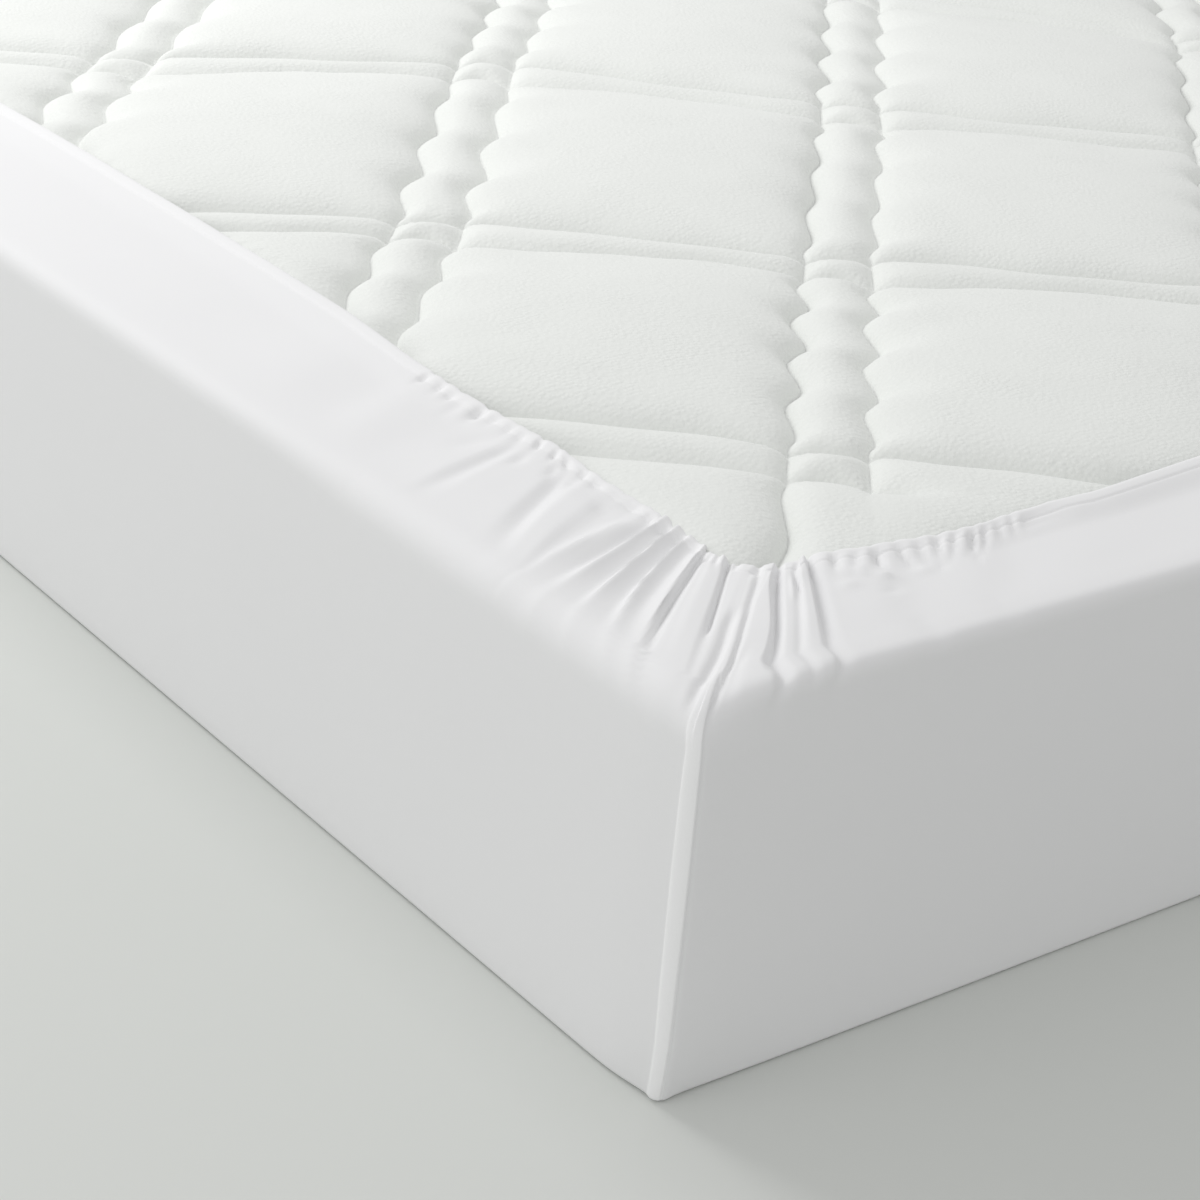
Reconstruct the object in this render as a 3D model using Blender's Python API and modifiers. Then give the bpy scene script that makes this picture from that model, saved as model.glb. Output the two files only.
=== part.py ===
"""A fitted sheet drawn over a mattress, modelled in metres with +Z up.

The mattress lies with its quilted face up.  The sheet is pulled on from below: its flat
panel is under the mattress, its sides stand against the mattress's sides, and its
elastic hem is gathered over the rim of the quilted face, most of all at the corners.
The origin is at the middle of the flat panel's underside.  +X runs along the length.
"""

import math
import random

import bmesh
import bpy
from mathutils import Vector

# ---------------------------------------------------------------- driving sizes, metres
MATTRESS_LENGTH = 2.000
MATTRESS_WIDTH = 1.600
MATTRESS_CORNER_RADIUS = 0.020
MATTRESS_TOP_ROUND = 0.017
MATTRESS_BOTTOM_ROUND = 0.014
RIM_TOP = 0.1945             # top of the mattress below the sheet's band

CLOTH = 0.0015               # thickness of the sheet
SOLE_GAP = 0.0003            # mattress above the sheet's panel
SIDE_GAP = 0.0015            # mattress side to the cloth
SHEET_CORNER_RADIUS = 0.018
SHEET_BOTTOM_ROUND = 0.012
SHEET_TOP_ROUND = 0.020      # height of the turn from the side onto the band
TURN_INSET = 0.018           # where the turn ends, in from the side
TURN_CORNER_RADIUS = 0.012
TURN_FAN = 0.030             # lines nearer the corner than this fan out over the turn
BAND_TOP = 0.2000            # outer face of the cloth where it turns onto the band
TROUGH_DROP = 0.0018         # how far below BAND_TOP the floor of a fold lies
HEM_CORNER_RADIUS = 0.035
SIDE_BOW = 0.0015            # how far the cloth stands out halfway up a side
SIDE_LOWER = 0.080           # heights of the two rows of points up a side
SIDE_UPPER = 0.140

SEAM_RAISE = 0.0025          # corner seam above the cloth beside it
SEAM_HALF_WIDTH = 0.0045
SEAM_LEAN = 5.0              # mm, how far along the hem from its corner the seam ends
MM = 0.001

HALF_X = MATTRESS_LENGTH / 2 + SIDE_GAP + CLOTH
HALF_Y = MATTRESS_WIDTH / 2 + SIDE_GAP + CLOTH

# Corner 0 is at -X -Y; the others follow anticlockwise, seen from above.  The side of the
# same number leaves its corner.  Widths are of the band from the outer edge to the hem.
SIDES = [
    # (length, width at start, width in the middle, width at end)
    (2 * HALF_X, 0.088, 0.106, 0.094),
    (2 * HALF_Y, 0.098, 0.116, 0.100),
    (2 * HALF_X, 0.092, 0.110, 0.096),
    (2 * HALF_Y, 0.104, 0.128, 0.102),
]

# Folds of one corner.  "edge" is the place along the outer edge and "hem" along the hem,
# both in mm from the corner, negative on the arriving side.  "lift" is the height in mm
# above the floor of the folds, and "carry" is the share of it that reaches the edge.
CORNER_FOLDS = [
    # (edge, hem, lift, carry)
    (-420, -352, 1.6, 0.0),
    (-320, -275, 2.6, 0.0),
    (-243, -187, 0.8, 0.0),
    (-200, -166, 4.0, 0.0),
    (-167, -148, 0.6, 0.0),
    (-155, -128, 4.6, 0.1),
    (-147, -110, 2.0, 0.1),
    (-141, -92, 5.0, 0.1),
    (-134, -78, 0.6, 0.1),
    (-120, -69, 6.2, 0.2),
    (-108, -61, 0.4, 0.1),
    (-97, -56, 6.0, 0.2),
    (-88, -51, 0.8, 0.1),
    (-80, -46, 5.2, 0.2),
    (-73, -41, 2.0, 0.1),
    (-64, -36, 5.8, 0.2),
    (-56, -30, 0.2, 0.1),
    (-40, -23, 6.2, 0.2),
    (-24, -14, 0.6, 0.1),
    (-13, -6, 4.8, 0.2),
    (22, 15, 5.2, 0.4),
    (40, 17, 5.4, 0.5),
    (58, 21, 0.0, 0.3),
    (72, 29, 6.0, 0.6),
    (89, 41, 0.4, 0.3),
    (106, 53, 4.0, 0.4),
    (138, 82, 2.2, 0.1),
    (205, 148, 2.8, 0.0),
]

# How each corner differs from that list: mirrored about its seam, spread along the edge,
# fullness of its folds, and the size of its chance differences.
CORNERS = [
    # (mirrored, spread, fullness, chance)
    (False, 1.00, 1.00, 0.00),
    (True, 0.92, 0.90, 0.16),
    (False, 1.08, 1.05, 0.16),
    (True, 1.00, 0.82, 0.16),
]
CHANCE_SEED = 7
SPREAD_FROM = 40             # mm from the corner, where the spread starts
SHIFT_FROM = 200             # mm from the corner, where places shift by chance

# Rings across the band, from the edge (0) to the hem (1), and how full a fold is there.
BAND_RINGS = [
    # (across, fullness)
    (0.28, 0.65),
    (0.56, 1.00),
    (0.82, 0.85),
    (1.00, 0.45),
]

SIDE_COLUMN_PITCH = 0.150
SIDE_WAVE_LIFT = 2.0         # mm, mean lift of the band between the corners
SIDE_WAVE = 1.0              # mm

# The seam's lower end is a small beak on the floor.  Outward shift of the seam itself.
BEAK = {"floor": 0.0145, "bend": 0.0070, "side": 0.0032}
BEAK_NEIGHBOUR_SHARE = 0.45

# ------------------------------------------------------------------ quilting, metres
# Two sets of padded bands cross aslant.  A runs nearly along +X, B nearly along +Y.
QUILT_NODE = Vector((-0.512, 0.442))
QUILT_A = Vector((0.2143, -0.1492))
QUILT_B = Vector((0.2343, 0.2625))
BAND_HALF_WIDTH = 0.017      # from the middle of a band to its stitching
SHOULDER = 0.030             # from the middle of a band to the pillow's steep shoulder
PILLOW_EDGE = 0.070          # from the middle of a band to the pillow's crown
STITCH_DEPTH = 0.0100
BAND_CREST_DROP = 0.0020
SHOULDER_DROP = 0.0035
PILLOW_CROWN = 0.0030
FACE_RISE = 0.0055           # quilted face above the rim, away from the hem
HEM_COVER = 0.130            # the face is no higher than the rim nearer the edge than this
FACE_RISE_RUN = 0.120
CROWN_RUN = 0.080
RELIEF_RUN = 0.053           # from the trim inwards, where the relief grows to its full depth
QUILT_TRIM = 0.045           # the quilting ends this far from the edge, below the band
BANDS_EACH_WAY = (7, 5)      # bands modelled to each side of the first node, along A and B
MATTRESS_SIDE_SPANS = 6


# ------------------------------------------------------------------------ small helpers
def clear_scene():
    """Remove every object that the file opened with."""
    for thing in list(bpy.data.objects):
        bpy.data.objects.remove(thing, do_unlink=True)


def smooth_step(value):
    """Ease from 0 to 1."""
    value = min(max(value, 0.0), 1.0)
    return value * value * (3.0 - 2.0 * value)


def fabric(name, colour, roughness):
    """Return a plain Principled material."""
    material = bpy.data.materials.new(name)
    material.use_nodes = True
    shader = material.node_tree.nodes["Principled BSDF"]
    shader.inputs["Base Color"].default_value = (*colour, 1.0)
    shader.inputs["Roughness"].default_value = roughness
    shader.inputs["Metallic"].default_value = 0.0
    return material


def object_from(bm, name, collection, material):
    """Turn a bmesh into a named object with one material."""
    mesh = bpy.data.meshes.new(name)
    bm.to_mesh(mesh)
    bm.free()
    mesh.shade_smooth()
    mesh.materials.append(material)
    thing = bpy.data.objects.new(name, mesh)
    collection.objects.link(thing)
    return thing


def quarter_round(radius, steps):
    """Points of a rounded edge: (inset from the side, drop from the face), side first."""
    angles = [math.pi / 2 * step / steps for step in range(steps + 1)]
    return [(radius * (1 - math.cos(a)), radius * (1 - math.sin(a))) for a in angles]


def loft(bm, rings):
    """Join closed rings of equal count with quads, in order."""
    for lower, upper in zip(rings, rings[1:]):
        for i in range(len(lower)):
            j = (i + 1) % len(lower)
            bm.faces.new((lower[i], lower[j], upper[j], upper[i]))


# ------------------------------------------------------------------------- plan of edges
def corner_axes(corner):
    """Axes of a corner: along the side that leaves it, and back along the arriving one."""
    turn = math.pi / 2 * corner
    leaving = Vector((math.cos(turn), math.sin(turn)))
    back = Vector((-math.sin(turn), math.cos(turn)))
    return leaving, back


def corner_point(corner, half_x, half_y):
    """Where the two outer edges of a corner would meet."""
    sign_x = 1 if corner in (1, 2) else -1
    sign_y = 1 if corner in (2, 3) else -1
    return Vector((sign_x * half_x, sign_y * half_y))


def along_edge(corner, place, radius, half_x, half_y):
    """Plan point of a rounded rectangle and its outward direction.

    place is the distance from the corner, negative on the arriving side.
    """
    leaving, back = corner_axes(corner)
    origin = corner_point(corner, half_x, half_y)
    if place <= -radius:
        return origin - place * back, -leaving
    if place >= radius:
        return origin + place * leaving, -back
    angle = math.pi / 4 * (1 + place / radius)
    outward = -(math.cos(angle) * leaving + math.sin(angle) * back)
    return origin + radius * (leaving + back) + radius * outward, outward


def band_width(side, place):
    """Width of the band at a distance from the start of a side."""
    length, start, middle, end = SIDES[side]
    share = min(max(place / length, 0.0), 1.0)
    if share < 0.5:
        return start + (middle - start) * smooth_step(2 * share)
    return middle + (end - middle) * smooth_step(2 * share - 1)


def along_hem(corner, place):
    """Plan point of the hem at a distance from the seam."""
    leaving, back = corner_axes(corner)
    origin = corner_point(corner, HALF_X, HALF_Y)
    arriving_side = (corner - 1) % 4
    arriving_length = SIDES[arriving_side][0]
    inner_a = band_width(arriving_side, arriving_length)
    inner_b = band_width(corner, 0.0)
    if place <= -HEM_CORNER_RADIUS:
        far = inner_b - place
        return origin + band_width(arriving_side, arriving_length - far) * leaving + far * back
    if place >= HEM_CORNER_RADIUS:
        far = inner_a + place
        return origin + far * leaving + band_width(corner, far) * back
    angle = math.pi / 4 * (1 + place / HEM_CORNER_RADIUS)
    centre = origin + (inner_a + HEM_CORNER_RADIUS) * leaving + (inner_b + HEM_CORNER_RADIUS) * back
    return centre - HEM_CORNER_RADIUS * (math.cos(angle) * leaving + math.sin(angle) * back)


# --------------------------------------------------------------------- fitted sheet
def column(corner, edge, hem, lift, carry, seam=0.0):
    """One line of the cloth, from the panel up the side and in to the hem."""
    point, outward = along_edge(corner, edge, SHEET_CORNER_RADIUS, HALF_X, HALF_Y)
    place = math.copysign(abs(edge) - TURN_INSET, edge)
    if abs(edge) < TURN_FAN:
        place = edge * TURN_CORNER_RADIUS / TURN_FAN
    turn, _ = along_edge(corner, place, TURN_CORNER_RADIUS, HALF_X - TURN_INSET, HALF_Y - TURN_INSET)
    return {
        "edge": point,
        "outward": outward,
        "turn": turn,
        "hem": along_hem(corner, hem),
        "lift": lift,
        "carry": carry,
        "seam": seam,
    }


def seam_columns(corner):
    """The ridge of a corner seam: its middle line and the cloth at its two sides."""
    reach = SEAM_HALF_WIDTH
    lean = -SEAM_LEAN * MM if CORNERS[corner][0] else SEAM_LEAN * MM
    return [
        column(corner, -reach, lean - reach, 2.4 * MM, 0.3, BEAK_NEIGHBOUR_SHARE),
        column(corner, 0.0, lean, 3.2 * MM, 0.4, 1.0),
        column(corner, reach, lean + reach, 2.4 * MM, 0.3, BEAK_NEIGHBOUR_SHARE),
    ]


def fold_columns(corner):
    """The folds of one corner, each trough and ridge a column, with the seam among them."""
    mirrored, spread, fullness, chance = CORNERS[corner]
    rng = random.Random(CHANCE_SEED + corner)
    turned = -1 if mirrored else 1
    rows = sorted((turned * row[0], turned * row[1], *row[2:]) for row in CORNER_FOLDS)
    columns = []
    for edge, hem, lift, carry in rows:
        shift = 1 + chance * rng.uniform(-0.5, 0.5)
        swell = fullness * (1 + chance * rng.uniform(-2.0, 2.0))
        place = edge * (spread if abs(edge) > SPREAD_FROM else 1.0)
        place *= shift if abs(edge) > SHIFT_FROM else 1.0
        columns.append((place, column(corner, place * MM, hem * MM, lift * MM * swell, carry)))
    before = [entry for place, entry in columns if place < 0]
    after = [entry for place, entry in columns if place > 0]
    return before + seam_columns(corner) + after


def side_columns(side, last, first):
    """Lines between two corners, evenly spaced, with the band rising and falling a little."""
    run = (first["edge"] - last["edge"]).length
    count = round(run / SIDE_COLUMN_PITCH)
    origin = corner_point(side, HALF_X, HALF_Y)
    leaving, back = corner_axes(side)
    columns = []
    for step in range(1, count):
        share = step / count
        wave = math.sin(2.4 * step + 1.7 * side) + 0.5 * math.sin(5.1 * step + side)
        hem = last["hem"].lerp(first["hem"], share)
        width = band_width(side, (hem - origin).dot(leaving))
        columns.append({
            "edge": last["edge"].lerp(first["edge"], share),
            "outward": last["outward"],
            "turn": last["turn"].lerp(first["turn"], share),
            "hem": hem + (width - (hem - origin).dot(back)) * back,
            "lift": (SIDE_WAVE_LIFT + SIDE_WAVE * wave) * MM,
            "carry": 0.0,
            "seam": 0.0,
        })
    return columns


def all_columns():
    """Every line of the cloth, anticlockwise from the first corner."""
    corners = [fold_columns(corner) for corner in range(4)]
    columns = []
    for corner in range(4):
        columns += corners[corner]
        columns += side_columns(corner, corners[corner][-1], corners[(corner + 1) % 4][0])
    return columns


def side_rows():
    """Rows up the side: (zone of the beak, inset, share of the turn, height, bow)."""
    bottom = quarter_round(SHEET_BOTTOM_ROUND, 2)
    top = quarter_round(1.0, 3)
    rows = [
        ("floor", bottom[2][0], 0.0, 0.0, 0.0),
        ("bend", bottom[1][0], 0.0, bottom[1][1], 0.0),
        ("side", 0.0, 0.0, SHEET_BOTTOM_ROUND, 0.2),
        ("plain", 0.0, 0.0, SIDE_LOWER, 1.0),
        ("plain", 0.0, 0.0, SIDE_UPPER, 0.9),
    ]
    rows += [("plain", 0.0, inset, BAND_TOP - drop * SHEET_TOP_ROUND, 0.0) for inset, drop in top]
    return rows


def side_ring(bm, columns, zone, inset, turned, height, bow):
    """One ring of points round the side of the sheet."""
    ring = []
    for line in columns:
        out = bow * SIDE_BOW - inset
        out += line["seam"] * BEAK.get(zone, SEAM_RAISE * (1 - turned))
        point = line["edge"].lerp(line["turn"], turned) + out * line["outward"]
        rise = (line["seam"] * SEAM_RAISE + line["carry"] * line["lift"]) * turned
        ring.append(bm.verts.new((point.x, point.y, height + rise)))
    return ring


def band_ring(bm, columns, across, fullness):
    """One ring of points on the band, with the folds raised."""
    ring = []
    for line in columns:
        point = line["turn"].lerp(line["hem"], across)
        folded = (line["lift"] - TROUGH_DROP) * fullness
        carried = line["carry"] * line["lift"] * (1 - fullness)
        height = BAND_TOP + folded + max(carried, 0.0) + line["seam"] * SEAM_RAISE
        ring.append(bm.verts.new((point.x, point.y, height)))
    return ring


def build_sheet(collection):
    """The sheet: flat panel, sides, corner seams, and the band with its folds and hem."""
    bm = bmesh.new()
    columns = all_columns()
    rings = [side_ring(bm, columns, *row) for row in side_rows()]
    rings += [band_ring(bm, columns, across, fullness) for across, fullness in BAND_RINGS]
    loft(bm, rings)
    bm.faces.new(list(reversed(rings[0])))
    sheet = object_from(bm, "fitted_sheet", collection, fabric("sheet_cotton", (0.86, 0.86, 0.87), 0.85))
    skin = sheet.modifiers.new("cloth", "SOLIDIFY")
    skin.thickness = CLOTH
    skin.offset = -1.0
    skin.use_even_offset = False
    skin.use_rim = True
    return sheet


# ------------------------------------------------------------------------- mattress
def quilt_places(point):
    """Distances of a plan point from the nearest A band and the nearest B band."""
    across = QUILT_A.x * QUILT_B.y - QUILT_A.y * QUILT_B.x
    offset = point - QUILT_NODE
    along_a = (offset.x * QUILT_B.y - offset.y * QUILT_B.x) / across
    along_b = (QUILT_A.x * offset.y - QUILT_A.y * offset.x) / across
    pitch_a = across / QUILT_A.length
    pitch_b = across / QUILT_B.length
    return abs(along_b - round(along_b)) * pitch_a, abs(along_a - round(along_a)) * pitch_b


def band_profile(distance):
    """Depth of the quilting across one band: crest, stitching, shoulder, pillow."""
    if distance < BAND_HALF_WIDTH:
        share = (distance / BAND_HALF_WIDTH) ** 2
        return BAND_CREST_DROP + (STITCH_DEPTH - BAND_CREST_DROP) * share
    if distance < SHOULDER:
        share = (distance - BAND_HALF_WIDTH) / (SHOULDER - BAND_HALF_WIDTH)
        return STITCH_DEPTH + (SHOULDER_DROP - STITCH_DEPTH) * math.sqrt(share)
    share = smooth_step((distance - SHOULDER) / (PILLOW_EDGE - SHOULDER))
    return SHOULDER_DROP * (1 - share)


def face_inset(point):
    """How far a plan point lies in from the mattress's sides."""
    return min(MATTRESS_LENGTH / 2 - abs(point.x), MATTRESS_WIDTH / 2 - abs(point.y))


def face_height(point):
    """Height of the quilted face at a plan point."""
    inset = face_inset(point)
    rise = FACE_RISE * smooth_step((inset - HEM_COVER) / FACE_RISE_RUN)
    relief = smooth_step((inset - QUILT_TRIM) / RELIEF_RUN)
    from_a, from_b = quilt_places(point)
    depth = max(band_profile(from_a), band_profile(from_b))
    crown = PILLOW_CROWN * smooth_step((min(from_a, from_b) - SHOULDER) / CROWN_RUN)
    return RIM_TOP + rise - depth * relief + crown * (rise / FACE_RISE)


def lattice_steps(pitch, count):
    """Places across several bands: each crest, its stitching, and the pillows beside it."""
    steps = []
    for number in range(-count, count + 1):
        start = number * pitch
        steps += [start - PILLOW_EDGE, start - SHOULDER, start - BAND_HALF_WIDTH, start]
        steps += [start + BAND_HALF_WIDTH, start + SHOULDER, start + PILLOW_EDGE]
    return [step / pitch for step in steps]


def quilted_face(bm):
    """A grid that follows the quilting, trimmed square below the sheet's band."""
    across = QUILT_A.x * QUILT_B.y - QUILT_A.y * QUILT_B.x
    steps_a = lattice_steps(across / QUILT_B.length, BANDS_EACH_WAY[0])
    steps_b = lattice_steps(across / QUILT_A.length, BANDS_EACH_WAY[1])
    columns, rows = len(steps_a) - 1, len(steps_b) - 1
    bmesh.ops.create_grid(bm, x_segments=columns, y_segments=rows, size=0.5)
    for vert in bm.verts:
        step_a = steps_a[round((vert.co.x + 0.5) * columns)]
        step_b = steps_b[round((vert.co.y + 0.5) * rows)]
        place = QUILT_NODE + step_a * QUILT_A + step_b * QUILT_B
        vert.co = (place.x, place.y, face_height(place))
    bmesh.ops.triangulate(bm, faces=bm.faces[:])
    for inset, trims in ((QUILT_TRIM, True), (HEM_COVER, False)):
        reach_x, reach_y = MATTRESS_LENGTH / 2 - inset, MATTRESS_WIDTH / 2 - inset
        for normal, reach in (((1, 0, 0), reach_x), ((-1, 0, 0), reach_x),
                              ((0, 1, 0), reach_y), ((0, -1, 0), reach_y)):
            bmesh.ops.bisect_plane(
                bm, geom=bm.verts[:] + bm.edges[:] + bm.faces[:], dist=1e-6,
                plane_co=Vector(normal) * reach, plane_no=normal, clear_outer=trims)
    for vert in bm.verts:
        inset = face_inset(vert.co.xy)
        if inset < QUILT_TRIM + MM:
            vert.co.z = RIM_TOP
        elif inset < HEM_COVER + MM:
            vert.co.z = min(vert.co.z, RIM_TOP)


def mattress_plan():
    """Places round the mattress's rounded outline: (corner, place from the corner)."""
    radius = MATTRESS_CORNER_RADIUS
    plan = []
    for corner in range(4):
        plan += [(corner, radius * share) for share in (-1.0, -0.5, 0.0, 0.5, 1.0)]
        run = (MATTRESS_WIDTH if corner % 2 else MATTRESS_LENGTH) - 2 * radius
        plan += [(corner, radius + run * step / MATTRESS_SIDE_SPANS)
                 for step in range(1, MATTRESS_SIDE_SPANS)]
    return plan


def mattress_rows():
    """Rows from the sole up to the rim: (inset, height)."""
    sole = CLOTH + SOLE_GAP
    bottom = quarter_round(MATTRESS_BOTTOM_ROUND, 2)
    top = quarter_round(MATTRESS_TOP_ROUND, 3)
    rows = [(inset, sole + drop) for inset, drop in reversed(bottom)]
    return rows + [(inset, RIM_TOP - drop) for inset, drop in top]


def build_mattress(collection):
    """The mattress: quilted face, flat rim, rounded sides and flat sole."""
    bm = bmesh.new()
    quilted_face(bm)
    inner = [edge for edge in bm.edges if edge.is_boundary]
    rings = []
    for inset, height in mattress_rows():
        ring = []
        for corner, place in mattress_plan():
            point, outward = along_edge(corner, place, MATTRESS_CORNER_RADIUS,
                                        MATTRESS_LENGTH / 2, MATTRESS_WIDTH / 2)
            point = point - inset * outward
            ring.append(bm.verts.new((point.x, point.y, height)))
        rings.append(ring)
    loft(bm, rings)
    bm.faces.new(list(reversed(rings[0])))
    rim = set(rings[-1])
    outer = [edge for edge in bm.edges if edge.is_boundary and set(edge.verts) <= rim]
    bmesh.ops.triangle_fill(bm, use_beauty=True, use_dissolve=False, edges=inner + outer,
                            normal=(0, 0, 1))
    bmesh.ops.recalc_face_normals(bm, faces=bm.faces[:])
    return object_from(bm, "mattress", collection, fabric("mattress_knit", (0.82, 0.83, 0.80), 0.95))


def main():
    """Build both pieces in a collection named for the object."""
    clear_scene()
    collection = bpy.data.collections.new("fitted_sheet_on_mattress")
    bpy.context.scene.collection.children.link(collection)
    build_sheet(collection)
    build_mattress(collection)


main()
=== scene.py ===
"""Looks of a fitted sheet drawn over a quilted mattress.

The mattress lies with its quilted face up.  The sheet is one thin cloth: a flat panel below
the mattress, four sides, four corner seams, and a band that turns over the mattress's rim
and ends in an elastic hem.  Everything is in metres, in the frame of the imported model, with
the corner nearest the camera at -X -Y.  Fold tables are in millimetres.
"""

import enum
import logging
import math
import random
from dataclasses import dataclass, field

import bmesh
import bpy
import numpy as np
from mathutils import Matrix, Vector, noise


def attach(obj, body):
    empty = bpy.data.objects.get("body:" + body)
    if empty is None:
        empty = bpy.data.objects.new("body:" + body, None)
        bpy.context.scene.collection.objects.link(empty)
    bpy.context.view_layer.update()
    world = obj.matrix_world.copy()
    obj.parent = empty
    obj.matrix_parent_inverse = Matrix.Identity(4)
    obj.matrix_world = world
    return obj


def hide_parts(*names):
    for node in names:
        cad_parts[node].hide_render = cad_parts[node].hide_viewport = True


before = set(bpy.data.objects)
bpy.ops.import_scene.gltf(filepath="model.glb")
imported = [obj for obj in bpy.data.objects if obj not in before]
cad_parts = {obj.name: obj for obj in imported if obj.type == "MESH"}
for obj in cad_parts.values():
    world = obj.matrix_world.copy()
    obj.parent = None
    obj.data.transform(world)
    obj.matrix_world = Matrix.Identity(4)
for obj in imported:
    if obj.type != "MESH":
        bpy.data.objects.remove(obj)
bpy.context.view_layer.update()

MM = 0.001
FAR_AWAY = 1e4        # mm, the place of a line that a corner's tables don't reach
LOG = logging.getLogger("fitted_sheet")


class Piece(enum.Enum):
    """Names of the pieces that this scene makes."""

    SHEET = "cotton_fitted_sheet"
    MATTRESS = "quilted_mattress"
    FLOOR = "studio_floor"


class Hand(enum.Enum):
    """Whether a corner's folds run as in the tables or mirrored about its seam."""

    AS_LISTED = 1
    MIRRORED = -1


# ------------------------------------------------------------------------------- helpers
def ease(value: np.ndarray) -> np.ndarray:
    """Ease from 0 to 1 over the same range.

    Args:
        value: Any numbers; they are held between 0 and 1 first.

    Returns:
        The eased numbers.
    """
    held = np.clip(value, 0.0, 1.0)
    return held * held * (3.0 - 2.0 * held)


def ramp(value: float | np.ndarray, start: float, run: float) -> float | np.ndarray:
    """Ease from 0 at a start to 1 a run further on; a negative run goes the other way."""
    return ease((value - start) / run)


def held_share(value: float) -> float:
    """A number held between 0 and 1."""
    return min(max(value, 0.0), 1.0)


def bell(value: np.ndarray) -> np.ndarray:
    """A smooth bump of height 1 at 0 that is near 0 beyond 1.6."""
    return np.exp(-value * value)


def quarter_round(steps: int) -> list[tuple[float, float, float]]:
    """Points of a rounded edge of radius 1, side first.

    Args:
        steps: Number of spans round the edge.

    Returns:
        One (inset from the side, drop from the face, angle) for each point.
    """
    angles = [math.pi / 2 * step / steps for step in range(steps + 1)]
    return [(1 - math.cos(a), 1 - math.sin(a), a) for a in angles]


def grid_mesh(name: str, points: np.ndarray, closed: bool) -> bpy.types.Mesh:
    """Make a quad mesh from rows of points.

    Args:
        name: Name of the mesh.
        points: Array of rows, columns and three coordinates.
        closed: Whether the last column joins the first.

    Returns:
        The mesh, with point number row * columns + column.
    """
    rows, columns = points.shape[:2]
    across = np.arange(columns if closed else columns - 1)
    first = np.arange(rows - 1)[:, None] * columns
    left, right = first + across, first + (across + 1) % columns
    quads = np.stack([left, right, right + columns, left + columns], axis=-1).reshape(-1, 4)
    mesh = bpy.data.meshes.new(name)
    mesh.from_pydata(points.reshape(-1, 3).tolist(), [], quads.tolist())
    return mesh


def place_object(name: str, mesh: bpy.types.Mesh, material: bpy.types.Material) -> bpy.types.Object:
    """Link a mesh to the scene as an object with one material.

    Args:
        name: Name of the object.
        mesh: Its mesh.
        material: Its only material.

    Returns:
        The new object.
    """
    mesh.materials.clear()
    mesh.materials.append(material)
    thing = bpy.data.objects.new(name, mesh)
    bpy.context.scene.collection.objects.link(thing)
    return thing


# ----------------------------------------------------------------------- plan of the bed
@dataclass(frozen=True)
class Outline:
    """A rounded rectangle seen from above, walked anticlockwise from its -X -Y corner."""

    half_x: float
    half_y: float
    radius: float

    @staticmethod
    def axes(corner: int) -> tuple[Vector, Vector]:
        """Directions along the side that leaves a corner, and back along the arriving one."""
        turn = math.pi / 2 * corner
        return Vector((math.cos(turn), math.sin(turn))), Vector((-math.sin(turn), math.cos(turn)))

    def corner_point(self, corner: int) -> Vector:
        """Where the two straight edges of a corner would meet."""
        return Vector(((1 if corner in (1, 2) else -1) * self.half_x,
                       (1 if corner in (2, 3) else -1) * self.half_y))

    def at(self, corner: int, place: float) -> tuple[Vector, Vector]:
        """Find a point of the outline.

        Args:
            corner: Number of the corner.
            place: Distance from it, negative on the arriving side.

        Returns:
            The point and the outward direction there.
        """
        leaving, back = self.axes(corner)
        origin = self.corner_point(corner)
        if place <= -self.radius:
            return origin - place * back, -leaving
        if place >= self.radius:
            return origin + place * leaving, -back
        angle = math.pi / 4 * (1 + place / self.radius)
        outward = -(math.cos(angle) * leaving + math.sin(angle) * back)
        return origin + self.radius * (leaving + back) + self.radius * outward, outward


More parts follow.
